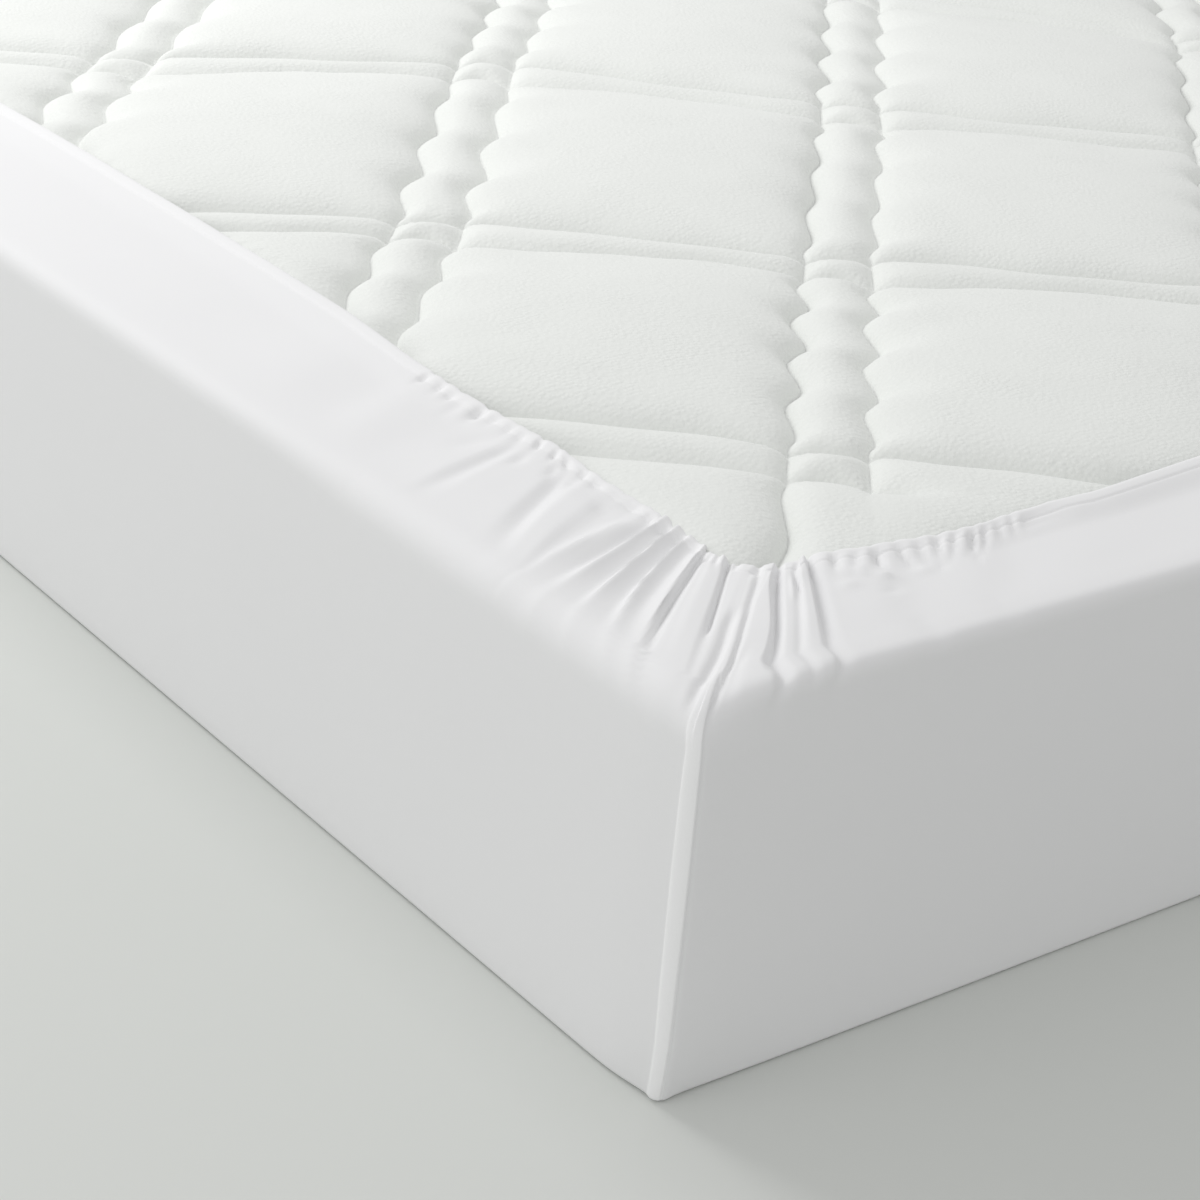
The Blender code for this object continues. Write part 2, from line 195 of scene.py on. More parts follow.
@dataclass(frozen=True)
class HemLine:
    """The line of the elastic hem, as the width of the band round the outer edge."""

    outline: Outline
    corner_radius: float = 0.035
    # (width at the side's start, in its middle, at its end), for the side that leaves
    # each corner in turn
    widths: tuple[tuple[float, float, float], ...] = (
        (0.088, 0.106, 0.094),
        (0.098, 0.116, 0.100),
        (0.092, 0.110, 0.096),
        (0.104, 0.128, 0.102),
    )

    def length(self, side: int) -> float:
        """Length of a side's outer edge."""
        return 2 * (self.outline.half_y if side % 2 else self.outline.half_x)

    def width(self, side: int, along: np.ndarray) -> np.ndarray:
        """Width of the band at distances from the start of a side."""
        start, middle, end = self.widths[side]
        share = np.clip(np.asarray(along) / self.length(side), 0.0, 1.0)
        return np.where(share < 0.5,
                        start + (middle - start) * ease(2 * share),
                        middle + (end - middle) * ease(2 * share - 1))

    def corner_widths(self, corner: int) -> tuple[float, float]:
        """Widths of the band at a corner, on its arriving side and on its leaving side."""
        return self.widths[(corner - 1) % 4][2], self.widths[corner][0]

    def at(self, corner: int, place: float) -> Vector:
        """Plan point of the hem at a distance from the corner's seam."""
        leaving, back = self.outline.axes(corner)
        origin = self.outline.corner_point(corner)
        arriving_side = (corner - 1) % 4
        inner_a, inner_b = self.corner_widths(corner)
        radius = self.corner_radius
        if place <= -radius:
            far = inner_b - place
            width = float(self.width(arriving_side, self.length(arriving_side) - far))
            return origin + width * leaving + far * back
        if place >= radius:
            far = inner_a + place
            return origin + far * leaving + float(self.width(corner, far)) * back
        angle = math.pi / 4 * (1 + place / radius)
        centre = origin + (inner_a + radius) * leaving + (inner_b + radius) * back
        return centre - radius * (math.cos(angle) * leaving + math.sin(angle) * back)

    def inside(self, points: np.ndarray) -> np.ndarray:
        """How far plan points lie inside the hem's opening, negative below the band."""
        depths = []
        for side in range(4):
            leaving, back = self.outline.axes(side)
            offset = points - np.array(self.outline.corner_point(side))
            along = offset @ np.array(leaving)
            depths.append(offset @ np.array(back) - self.width(side, along))
        nearest = np.minimum.reduce(depths)
        for side in range(4):
            near = [np.maximum(self.corner_radius - depths[n], 0.0) for n in (side - 1, side)]
            rounded = self.corner_radius - np.hypot(*near)
            both = (near[0] > 0) & (near[1] > 0)
            nearest = np.where(both, np.minimum(nearest, rounded), nearest)
        return nearest


# --------------------------------------------------------------------------- fold tables
# How far the folds lean toward a seam, in mm for a whole share down the turn
ARRIVING_LEAN = 100
LEAVING_LEAN = 55


@dataclass(frozen=True)
class FoldLine:
    """One crest or trough that runs from the outer edge to the hem, in millimetres."""

    edge: float      # place along the outer edge, negative on the arriving side
    middle: float    # place half way to the hem, measured along the outer edge too
    hem: float       # place at the hem, measured the same way
    height: float    # above the band's level, negative in a trough
    carry: float     # share of the height that the turn at the outer edge keeps
    sharp: float     # 0 is rounded, 1 is creased

    def place(self, across: float) -> float:
        """Place of the line at a share of the way from the turn to the hem.

        Down the turn, where the share is negative, the folds beside a seam lean toward it.
        """
        share = held_share(across)
        place = (self.edge * (1 - share) * (1 - 2 * share) + self.middle * 4 * share * (1 - share)
                 + self.hem * share * (2 * share - 1))
        leaving = held_share((self.edge - 10) / 30)
        arriving = held_share((self.edge + 135) / 50) * held_share((-20 - self.edge) / 20)
        return place + (ARRIVING_LEAN * arriving - LEAVING_LEAN * leaving) * max(-across, 0.0)


FOLD_LINES = tuple(FoldLine(*row) for row in (
    (-560, -560, -560, 0.2, 0.0, 0.0), (-470, -471, -472, -0.5, 0.0, 0.0),
    (-395, -396, -396, 0.7, 0.0, 0.0), (-342, -343, -344, -0.5, 0.0, 0.1),
    (-312, -313, -314, 1.0, 0.0, 0.1), (-285, -280, -272, -0.3, 0.0, 0.0),
    (-247, -247, -244, 1.5, 0.0, 0.9), (-240, -239, -236, -0.4, 0.0, 0.1),
    (-226, -227, -226, 1.1, 0.0, 0.0), (-206, -208, -211, 1.3, 0.0, 0.0),
    (-184, -183, -181, 1.6, 0.0, 0.2), (-171, -169, -166, -0.9, 0.0, 0.1),
    (-159, -160, -155, 3.0, 0.1, 0.5), (-150, -150, -148, 3.2, 0.1, 0.5),
    (-146, -144, -143, 0.9, 0.1, 0.1), (-143, -139, -134, 3.7, 0.1, 0.9),
    (-130, -128, -128, -1.1, 0.1, 0.3), (-122, -122, -125, 3.8, 0.2, 1.0),
    (-107, -109, -111, -1.2, 0.1, 0.3), (-101, -104, -108, 4.0, 0.2, 1.0),
    (-85, -91, -93, -1.2, 0.2, 0.3), (-78, -86, -87, 4.0, 0.2, 1.0), (-69, -76, -77, 0.2, 0.2, 0.1),
    (-58, -63, -66, 4.1, 0.3, 0.5), (-54, -59, -61, -0.9, 0.4, 0.3), (-48, -50, -52, 3.0, 0.3, 0.1),
    (-37, -38, -39, 4.2, 0.3, 0.0), (-25, -26, -27, 4.0, 0.3, 0.3), (-14, -16, -17, 2.7, 0.3, 0.0),
    (-4, -5, -7, 3.4, 0.3, 0.0), (22, 20, 12, 3.6, 0.3, 0.0), (51, 49, 20, 4.4, 0.7, 0.2),
    (58, 56, 42, -1.6, 0.7, 0.3), (66, 64, 58, 3.2, 0.6, 0.1), (74, 74, 70, 3.4, 0.6, 0.0),
    (81, 80, 78, 4.4, 0.6, 0.4), (87, 87, 86, 4.0, 0.6, 0.7), (91, 91, 92, -1.2, 0.5, 0.3),
    (101, 101, 104, 1.2, 0.4, 0.0), (125, 125, 126, 1.6, 0.2, 0.0), (150, 151, 152, 0.1, 0.2, 0.0),
    (182, 183, 184, 1.0, 0.1, 0.0), (214, 215, 216, -0.3, 0.0, 0.0), (268, 269, 270, 0.5, 0.0, 0.0),
    (340, 341, 342, -0.2, 0.0, 0.0), (430, 430, 430, 0.2, 0.0, 0.0),
))


@dataclass(frozen=True)
class Dent:
    """A crease or soft ridge that crosses part of the band, on a path of its own."""

    rise: float                              # mm, negative for a crease
    reach: float                             # mm, half width
    # (share of the way from the turn to the hem, place in mm)
    path: tuple[tuple[float, float], ...]
    fade: float = 0.08                       # length over which each end fades, as a share


DENTS = (
    Dent(-2.1, 2.4, ((-0.12, -5.5), (-0.05, -0.5), (-0.025, 1.5), (0.0, 8), (0.16, 10), (0.28, 8),
                     (0.39, 4), (0.50, 2)), 0.08),
    Dent(-1.8, 1.9, ((-0.14, 8), (-0.10, 12.5), (-0.05, 18), (-0.025, 21.5), (0.0, 33), (0.06, 34),
                     (0.30, 32), (0.40, 29), (0.57, 18), (0.71, 14), (0.85, 10), (1.02, 2)), 0.05),
    Dent(-1.1, 4.0, ((-0.09, 20), (-0.03, 28), (0.0, 38), (0.12, 38)), 0.07),
    Dent(-3.0, 1.3, ((0.34, -15), (0.47, -17), (0.69, -20), (0.90, -22), (1.02, -22)), 0.07),
    Dent(-1.8, 1.5, ((0.61, 77), (0.72, 74), (0.84, 71)), 0.06),
    Dent(-1.0, 2.6, ((-0.18, 66), (-0.10, 69), (0.00, 74), (0.60, 75)), 0.08),
    Dent(1.0, 1.4, ((0.58, 70), (0.78, 67)), 0.06),
    Dent(-1.2, 1.4, ((0.86, -37), (1.02, -37)), 0.05),
    Dent(1.2, 1.4, ((0.86, -30), (1.02, -30)), 0.05),
    Dent(-1.8, 1.7, ((0.90, -16), (1.04, -15)), 0.05),
    Dent(0.8, 5.0, ((0.58, 140), (0.68, 128), (0.76, 112)), 0.10),
    Dent(-0.8, 7.0, ((-0.25, 143), (0.02, 146)), 0.10),
    Dent(-0.6, 8.0, ((-0.25, 188), (0.00, 190)), 0.10),
    Dent(-0.9, 7.0, ((0.55, -262), (0.80, -254)), 0.14),
)


@dataclass(frozen=True)
class Dimple:
    """One small hollow, or flake if it rises, that the elastic draws near the hem, in mm."""

    place: float        # along the hem, from the corner's seam
    from_hem: float
    rise: float
    half_length: float
    half_width: float


HEM_DIMPLES = tuple(Dimple(*row) for row in (
    (-225, 12, -2.0, 8.0, 4.4), (-240, 16, -1.0, 9.0, 4.0), (-175, 30, -1.5, 6.5, 3.2),
    (-156, 26, -1.5, 6.0, 3.0), (-139, 25, -1.4, 5.0, 3.0), (-107, 28, -1.9, 5.5, 3.6),
    (-92, 25, -1.2, 5.0, 2.2), (43, 9, -2.6, 10.0, 2.6), (56, 10, -1.3, 7.0, 1.3),
    (78, 15, -2.2, 6.0, 3.8), (81, 52, -1.0, 9.0, 5.0), (113, 7, -2.0, 5.5, 3.0),
    (134, 13, -1.8, 7.0, 2.4), (112, 30, -0.9, 3.5, 3.0), (134, 28, -0.9, 5.5, 1.8),
    (59, 37, 1.1, 4.0, 5.0), (79, 32, 1.2, 4.0, 4.0), (101, 31, 1.0, 4.0, 6.0),
    (67, 22, 1.1, 5.0, 3.0),
))
# Places along the hem of the near corner's stitched-in puckers, mm
NEAR_PUCKERS = (
    -277, -262, -250, -225, -212, -198, -188, -176, -163, -152, -137, -124, -107, -92, -79, -66, -53,
    -40, -28, -13, 5, 18, 31, 43, 56, 67, 78, 92, 103, 113, 123, 134, 143, 153, 163, 172, 181, 191,
    203, 216,
)


@dataclass(frozen=True)
class Puckers:
    """How the puckers that the elastic draws in the hem vary, in millimetres."""

    stretch: tuple[float, float] = (-330.0, 260.0)    # places between which a far corner has them
    spacing: tuple[float, float] = (8.5, 14.0)
    depth: tuple[float, float] = (1.6, 2.9)
    width: tuple[float, float] = (2.0, 3.1)
    length: tuple[float, float] = (4.5, 8.0)          # away from the hem's edge
    edge_length: float = 5.0                          # toward it
    middle: tuple[float, float] = (8.0, 11.0)         # distance of the deepest place from it
    lean: tuple[float, float] = (-0.3, 0.3)
    draw: float = 0.7                                 # share of the depth that the edge is drawn in
    draw_reach: float = 6.0
    long_places: tuple[float, float] = (40, 150)      # where the near corner's are long and shallow
    long_depth: float = 0.8
    long_length: float = 1.8
    # (place along the hem, share of the full depth)
    strength: tuple[tuple[float, float], ...] = (
        (-470, 0.05), (-380, 0.15), (-320, 0.5), (-280, 1.0), (-60, 1.0), (-40, 0.7), (30, 0.7),
        (50, 1.0), (135, 1.0), (165, 0.75), (200, 0.5), (230, 0.2), (300, 0.04),
    )


@dataclass(frozen=True)
class Zone:
    """Spacing of the cloth's lines over a stretch beside a corner, in millimetres."""

    start: float
    end: float
    step: float


NEAR_ZONES = (
    Zone(-620, -430, 10.0), Zone(-430, -330, 5.0), Zone(-330, -170, 2.4), Zone(-170, -30, 1.9),
    Zone(-30, -6.6, 1.5), Zone(-6.6, 6.6, 0.47), Zone(6.6, 62, 1.5), Zone(62, 110, 1.8),
    Zone(110, 230, 2.4), Zone(230, 520, 10.0),
)
FAR_ZONES = (
    Zone(-300, -170, 9.0), Zone(-170, -30, 5.0), Zone(-30, -5.6, 3.0), Zone(-5.6, 5.6, 0.8),
    Zone(5.6, 60, 3.2), Zone(60, 130, 5.0), Zone(130, 260, 9.0),
)


@dataclass(frozen=True)
class Corner:
    """How one corner of the sheet differs from the tables."""

    hand: Hand
    fullness: float
    zones: tuple[Zone, ...]
    seed: int


# ------------------------------------------------------------------------- fitted sheet
@dataclass
class SheetLines:
    """The cloth's lines from the panel to the hem, one entry for each line."""

    corner: np.ndarray      # number of the nearer corner
    along: np.ndarray       # distance along the whole outer edge, mm
    place: np.ndarray       # place along the outer edge from the nearer corner, mm
    hem_place: np.ndarray   # place along the hem from that corner's seam, mm
    edge: np.ndarray
    outward: np.ndarray
    turn: np.ndarray
    hem: np.ndarray

    def local(self, corner: int, hand: Hand) -> np.ndarray:
        """Places as a corner's tables count them, far away for lines of other corners."""
        return np.where(self.corner == corner, self.place * hand.value, FAR_AWAY)

    def hem_local(self, corner: int, hand: Hand) -> np.ndarray:
        """Places along the hem as a corner's tables count them."""
        return np.where(self.corner == corner, self.hem_place * hand.value, FAR_AWAY)

    def moved(self, shifts: np.ndarray, length: float) -> "SheetLines":
        """Move each line along the outer edge.

        Args:
            shifts: Distance for each line in mm, zero far from the corners.
            length: Length of the whole outer edge in mm.

        Returns:
            The moved lines.
        """
        def read(values: np.ndarray) -> np.ndarray:
            """Values read off at the moved places."""
            return np.interp(self.along + shifts, self.along, values, period=length)

        pairs = {key: np.column_stack([read(getattr(self, key)[:, axis]) for axis in (0, 1)])
                 for key in ("edge", "outward", "turn", "hem")}
        return SheetLines(self.corner, self.along + shifts, self.place + shifts,
                          read(self.hem_place), **pairs)


@dataclass
class FittedSheet:
    """One cotton cloth with its seams and hem: panel, sides, corners and gathered band."""

    half_x: float = 1.003
    half_y: float = 0.803
    thickness: float = 0.0013
    corner_radius: float = 0.006
    bottom_round: float = 0.0035
    turn_height: float = 0.020
    turn_inset: float = 0.018
    turn_radius: float = 0.012
    turn_fan: float = 0.030
    band_top: float = 0.2000
    side_bow: float = 0.0015
    side_pitch: float = 0.040
    seam_raise: float = 0.80         # mm
    seam_lean: float = 0.6           # share by which its leaving edge is higher than its middle
    seam_half_width: float = 3.7     # mm
    seam_low_half: float = 2.8       # mm, its half width at the surface
    seam_widened: float = 0.10       # height at which it has its full width
    seam_shoulder: float = 0.8       # mm, how far its edges slope
    seam_groove: float = 0.25        # mm
    groove_place: float = 0.9        # mm past the seam's leaving edge
    groove_reach: float = 0.7        # mm
    seam_loss: float = 0.85          # share of its height that the seam loses on the turn
    seam_follow: float = 85.0        # mm, how far from a seam the cloth's lines follow its path
    hem_depth: float = 15.0          # mm, the part of the band that has the hem's own rows
    main_share: float = 0.85         # share of the band's width before those rows
    turn_share: float = 0.25         # the turn's length, on the same scale
    turn_spans: int = 8
    band_spans: int = 22
    side_wave: float = 0.0009        # slow unevenness of the sides
    band_wave: float = 0.35          # mm, slow unevenness of the band
    deepest: float = -2.6            # mm, as low as the folds may sink
    corner_stretch: float = 600.0    # mm each way from a seam that its tables cover
    far_draw: float = 0.5            # share of the near seam's bend and draw that the others have
    far_stray: float = 0.4           # share of the near hem's stray that the others have
    doubled_rows: int = 10           # rows of the doubled hem
    doubled_hem: float = 0.35        # how much of the doubled look the hem has
    # mm, how far beside the seam it draws the cloth: along the leaving side, and out of it
    draw_reach: tuple[float, float] = (22.0, 60.0)
    # mm, reach of the beak on the arriving and the leaving side
    beak_reach: tuple[float, float] = (4.0, 9.0)
    # height at which the beak has gone, and the run below that in which it fades
    beak_top: tuple[float, float] = (0.030, 0.022)
    # (share of the way from the turn to the hem, run) of what changes over the band
    folds_rise: tuple[float, float] = (-0.06, 0.44)
    folds_calm: tuple[float, float] = (0.78, 0.2)     # before the hem
    long_calm: tuple[float, float] = (0.66, 0.2)      # the same, far along the arriving side
    padding_lifts: tuple[float, float] = (0.66, 0.34)
    seam_sinks: tuple[float, float] = (-0.20, 0.18)
    calm_loss: float = 0.5           # share of their height that the folds lose at the hem
    long_loss: float = 0.75          # the same for the folds far along the arriving side
    long_start: float = -140.0       # mm, where those begin
    crowding: float = 0.8            # mm of cloth for each mm of place on a rounded corner
    # height at which the seams' paler colour, partly doubled cloth and partly painted light, starts to
    # fade, the run, and the share it loses
    doubled_and_painted_light_fade: tuple[float, float, float] = (0.188, 0.010, 0.7)
    panel_share: float = 0.98        # the flat panel's share of the length and width
    # (height, share of the bow) of the rows of the sides
    side_rows: tuple[tuple[float, float], ...] = (
        (0.011, 0.15), (0.018, 0.3), (0.034, 0.55), (0.060, 0.9), (0.092, 1.0), (0.124, 1.0),
        (0.154, 0.7), (0.172, 0.3),
    )
    # distances from the hem's edge of the hem's own rows, mm
    hem_rows: tuple[float, ...] = (13.0, 11.5, 10.6, 9.8, 8.2, 6.4, 4.6, 3.0, 1.6, 0.6, 0.0)
    # how far the seam's lower end stands out: on the surface, at the bend and just above it
    beak: tuple[float, float, float] = (0.0016, 0.0010, 0.0004)
    # (height in metres, shift along the leaving side, shift out of it), mm: how the seam draws
    # the corner from its square
    corner_draw: tuple[tuple[float, float, float], ...] = (
        (0.0, 4.4, -1.1), (0.030, 1.5, 4.5), (0.181, 1.5, 4.5), (0.2, 0.0, 0.0),
    )
    flat_width: float = 2.26
    flat_length: float = 2.66
    notch: float = 0.305             # side of the square cut from each corner of the flat cloth
    corners: tuple[Corner, ...] = (
        Corner(Hand.AS_LISTED, 1.00, NEAR_ZONES, 11),
        Corner(Hand.MIRRORED, 0.90, FAR_ZONES, 23),
        Corner(Hand.AS_LISTED, 1.05, FAR_ZONES, 37),
        Corner(Hand.MIRRORED, 0.85, FAR_ZONES, 41),
    )
    # (place along the outer edge, place along the hem), mm: how the folds draw together
    gather: tuple[tuple[float, float], ...] = (
        (-420, -352), (-320, -275), (-243, -187), (-200, -166), (-167, -148), (-155, -128),
        (-147, -110), (-141, -92), (-134, -78), (-120, -69), (-108, -61), (-97, -56), (-88, -51),
        (-80, -46), (-73, -41), (-64, -36), (-56, -30), (-40, -23), (-24, -14), (-13, -6),
        (0, 4), (22, 15), (40, 18), (58, 23), (72, 30), (89, 41), (106, 53), (138, 82), (205, 148),
    )
    # (share of the way from the turn to the hem, place in mm) of the seam over the band
    seam_path: tuple[tuple[float, float], ...] = (
        (-0.25, -2.5), (-0.20, -1.5), (-0.15, 0.5), (-0.10, 4), (-0.05, 8.5), (-0.025, 12), (0.0, 20),
        (0.13, 21.5), (0.26, 19), (0.42, 13), (0.60, 9), (0.80, 4), (1.0, 1),
    )
    # (place along the hem, distance), mm: how far the hem strays inward from its even line
    hem_stray: tuple[tuple[float, float], ...] = (
        (-620, 0), (-470, 3), (-371, 4.5), (-300, 1), (-250, 1.5), (-202, 5), (-165, 8), (-120, 5.5),
        (-85, 8), (-50, 5.5), (-25, 2.5), (0, -0.5), (18, 3), (34, 3.5), (45, 7.5), (58, 4.5),
        (72, 0.5), (92, -1.5), (115, -6.5), (135, -8), (160, -6), (190, -6), (223, -8), (257, -5),
        (309, -1), (400, 0),
    )
    # (place along the hem, height), mm: how far the mattress's padding lifts the hem
    hem_lift: tuple[tuple[float, float], ...] = (
        (-420, 4.3), (-300, 3.9), (-240, 3.2), (-165, 2.6), (-100, 1.6), (-50, 1.4), (30, 1.4),
        (60, 1.8), (110, 3.2), (200, 4.2),
    )
    # (distance along the whole outer edge in mm, sharpness): 2 is a round turn, 5 a tight one
    turn_shape: tuple[tuple[float, float], ...] = (
        (0, 2.5), (10, 2.8), (26, 4.2), (50, 5.2), (180, 5.0), (1950, 4.5), (2060, 3.0), (3600, 3.0),
        (3700, 4.0), (5600, 3.6), (6860, 3.6), (6950, 2.4), (7224, 2.1),
    )
    # (distance from the hem's edge, height) of the doubled hem, mm
    hem_shape: tuple[tuple[float, float], ...] = (
        (0, -1.3), (0.5, -0.6), (1.5, -0.1), (3, 0.25), (8, 0.3), (10, 0.2), (10.6, -0.2),
        (11.6, 0.0), (15, 0.0),
    )
    puckers: Puckers = field(default_factory=Puckers)
    outline: Outline = field(init=False)
    hem_line: HemLine = field(init=False)
    lines: SheetLines = field(init=False)

    def __post_init__(self) -> None:
        """Work out the outlines and the cloth's lines."""
        self.outline = Outline(self.half_x, self.half_y, self.corner_radius)
        self.hem_line = HemLine(self.outline)
        self.lines = self.make_lines()

    # ---- lines
    def edge_length(self) -> float:
        """Length of the whole outer edge, in mm, as if its corners were square."""
        return sum(self.hem_line.length(side) for side in range(4)) / MM

    def gather_knots(self, corner: int) -> list[tuple[float, float]]:
        """Pairs of places, edge and hem, for one corner in its own hand."""
        sign = self.corners[corner].hand.value
        return sorted((sign * edge, sign * hem) for edge, hem in self.gather)

    def hem_place(self, side: int, along: float) -> tuple[int, float, float]:
        """Find where a line from the outer edge of a side meets the hem.

        Args:
            side: Number of the side.
            along: Distance from its start, in metres.

        Returns:
            Number of the nearer corner, place from that corner and hem place, in mm.
        """
        length = self.hem_line.length(side) / MM
        after = [knot for knot in self.gather_knots(side) if knot[0] >= 0]
        before = [knot for knot in self.gather_knots((side + 1) % 4) if knot[0] <= 0]
        inner_start = self.hem_line.corner_widths(side)[0] / MM
        inner_end = self.hem_line.corner_widths((side + 1) % 4)[1] / MM
        edges = [edge for edge, _ in after] + [length + edge for edge, _ in before]
        hems = [inner_start + hem for _, hem in after] + [length - inner_end + hem for _, hem in before]
        place = along / MM
        far = float(np.interp(place, edges, hems))
        if place < length / 2:
            return side, place, far - inner_start
        return (side + 1) % 4, place - length, far - (length - inner_end)

    def hem_point(self, corner: int, hem_place: float) -> Vector:
        """Plan point of the hem, with its stray from the even line."""
        straying = 1.0 if corner == 0 else self.far_stray
        local = hem_place * self.corners[corner].hand.value
        stray = straying * float(np.interp(local, *zip(*self.hem_stray)))
        leaving, back = self.outline.axes(corner)
        turned = min(max(hem_place * MM / self.hem_line.corner_radius, -1.0), 1.0)
        angle = math.pi / 4 * (1 + turned)
        inward = math.cos(angle) * leaving + math.sin(angle) * back
        return self.hem_line.at(corner, hem_place * MM) + stray * MM * inward

    def side_places(self, side: int) -> list[float]:
        """Distances along a side at which the cloth has a line, in metres."""
        length = self.hem_line.length(side)
        places = {0.0}
        for corner, origin, way in ((side, 0.0, 1), ((side + 1) % 4, length, -1)):
            hand = self.corners[corner].hand.value
            for zone in self.corners[corner].zones:
                low, high = sorted((hand * zone.start * MM, hand * zone.end * MM))
                low, high = (max(low, 0.0), high) if way > 0 else (low, min(high, 0.0))
                if high > low:
                    count = max(round((high - low) / (zone.step * MM)), 1)
                    places |= {round(origin + low + (high - low) * n / count, 6)
                               for n in range(count + 1)}
        ordered = sorted(place for place in places if place < length - 1e-4)
        gap_start, gap_end = max(zip(ordered, ordered[1:]), key=lambda pair: pair[1] - pair[0])
        count = round((gap_end - gap_start) / self.side_pitch)
        ordered += [gap_start + (gap_end - gap_start) * n / count for n in range(1, count)]
        return sorted(ordered)

    def make_lines(self) -> SheetLines:
        """Lay out every line of the cloth, anticlockwise from the corner near the camera."""
        turn = Outline(self.half_x - self.turn_inset, self.half_y - self.turn_inset, self.turn_radius)
        rows: dict[str, list] = {key: [] for key in SheetLines.__dataclass_fields__}
        start = 0.0
        for side in range(4):
            for along in self.side_places(side):
                corner, place, hem = self.hem_place(side, along)
                metres = place * MM
                edge, outward = self.outline.at(corner, metres)
                inner = math.copysign(abs(metres) - self.turn_inset, metres)
                if abs(metres) < self.turn_fan:
                    inner = metres * self.turn_radius / self.turn_fan
                rows["corner"].append(corner)
                rows["along"].append((start + along) / MM)
                rows["place"].append(place)
                rows["hem_place"].append(hem)
                rows["edge"].append(edge[:])
                rows["outward"].append(outward[:])
                rows["turn"].append(turn.at(corner, inner)[0][:])
                rows["hem"].append(self.hem_point(corner, hem)[:])
            start += self.hem_line.length(side)
        return SheetLines(**{key: np.array(values) for key, values in rows.items()})

    def seam_place(self, corner: int, across: float) -> float:
        """Place of a corner's seam on one row, as that corner's tables count it, in mm."""
        bend = 1.0 if corner == 0 else self.far_draw
        return bend * float(np.interp(across, *zip(*self.seam_path)))

    def lines_at(self, across: float) -> SheetLines:
        """The cloth's lines on one row, where those near a seam keep beside its path."""
        shifts = np.zeros(len(self.lines.place))
        for corner in range(4):
            local = self.lines.local(corner, self.corners[corner].hand)
            near = ease(1 - np.abs(local) / self.seam_follow)
            shifts += self.corners[corner].hand.value * self.seam_place(corner, across) * near
        return self.lines.moved(shifts, self.edge_length())

    def row_distance(self, plan: np.ndarray, local: np.ndarray, place: float) -> np.ndarray:
        """Distance along one row of the cloth from a place, in mm.

        Args:
            plan: Plan points of the row.
            local: Place of every line from the corner, in mm.
            place: Where the distance starts, in mm from the corner.

        Returns:
            Signed distances, far away for lines of other corners.
        """
        near = np.flatnonzero(np.abs(local) < self.corner_stretch)
        order = near[np.argsort(local[near])]
        steps = np.linalg.norm(np.diff(plan[order], axis=0), axis=1) / MM
        run = np.concatenate([[0.0], np.cumsum(steps)])
        result = np.full(len(local), FAR_AWAY)
        result[order] = run - np.interp(place, local[order], run)
        return result

    # ---- heights
    def fold_heights(self, corner: int, across: float, lines: SheetLines) -> np.ndarray:
        """Height of the gathered folds over one row of the band.

        Args:
            corner: Number of the corner whose folds these are.
            across: Share of the way from the turn to the hem, negative on the turn.
            lines: The cloth's lines on this row.

        Returns:
            Height above the band's level for every line, in mm.
        """
        local = lines.local(corner, self.corners[corner].hand)
        full = ramp(across, *self.folds_rise)
        at_hem = 1.0 - self.calm_loss * ramp(across, *self.folds_calm)
        long_side = 1.0 - self.long_loss * ramp(across, *self.long_calm)
        chance = random.Random(self.corners[corner].seed)
        knots, heights, sharps = [], [], []
        for fold in FOLD_LINES:
            swell = 1.0 if corner == 0 else chance.uniform(0.75, 1.2)
            share = fold.carry + (1 - fold.carry) * full
            if fold.edge < self.long_start:
                share *= long_side
            knots.append(fold.place(across))
            heights.append(fold.height * share * at_hem * swell * self.corners[corner].fullness)
            sharps.append(1.5 * fold.sharp)
        knots, heights, sharps = np.array(knots), np.array(heights), np.array(sharps)
        span = np.clip(np.searchsorted(knots, local) - 1, 0, len(knots) - 2)
        share = np.clip((local - knots[span]) / (knots[span + 1] - knots[span]), 0.0, 1.0)
        rise = ((share ** 3 - 2 * share ** 2 + share) * sharps[span]
                + (3 * share ** 2 - 2 * share ** 3)
                + (share ** 3 - share ** 2) * sharps[span + 1])
        return (heights[span] + (heights[span + 1] - heights[span]) * rise) * (lines.corner == corner)

    def dent_heights(self, corner: int, across: float, lines: SheetLines,
                     plan: np.ndarray) -> np.ndarray:
        """Height of the single creases and soft ridges over one row of the band, in mm."""
        local = lines.local(corner, self.corners[corner].hand)
        total = np.zeros(len(local))
        for dent in DENTS:
            shares = [share for share, _ in dent.path]
            if not shares[0] - dent.fade < across < shares[-1] + dent.fade:
                continue
            place = float(np.interp(across, *zip(*dent.path)))
            strength = ease((across - shares[0] + dent.fade) / (2 * dent.fade))
            strength *= ease((shares[-1] + dent.fade - across) / (2 * dent.fade))
            dent_shape = bell(self.row_distance(plan, local, place) / dent.reach)
            total += dent.rise * strength * dent_shape * self.corners[corner].fullness
        return total

    def seam_profile(self, distance: np.ndarray, half: float) -> np.ndarray:
        """Height of a felled seam at distances from its middle line, both in mm."""
        reach = np.abs(distance)
        edge = ease((reach - half + self.seam_shoulder / 2) / self.seam_shoulder)
        ridge = self.seam_raise * (1 - edge) * (1 + self.seam_lean * distance / half)
        groove = bell((distance - half - self.groove_place) / self.groove_reach)
        return ridge - self.seam_groove * groove

    def seam_distance(self, corner: int, across: float, lines: SheetLines,
                      plan: np.ndarray) -> np.ndarray:
        """Distance of every line from a corner's seam along one row, in mm."""
        local = lines.local(corner, self.corners[corner].hand)
        return self.row_distance(plan, local, self.seam_place(corner, across))

    def pucker_places(self, corner: int, chance: random.Random) -> list[float]:
        """Places along the hem at which the elastic draws the cloth in, in mm."""
        if corner == 0:
            return list(NEAR_PUCKERS)
        place, end = self.puckers.stretch
        places = []
        while place < end:
            places.append(place)
            place += chance.uniform(*self.puckers.spacing)
        return places

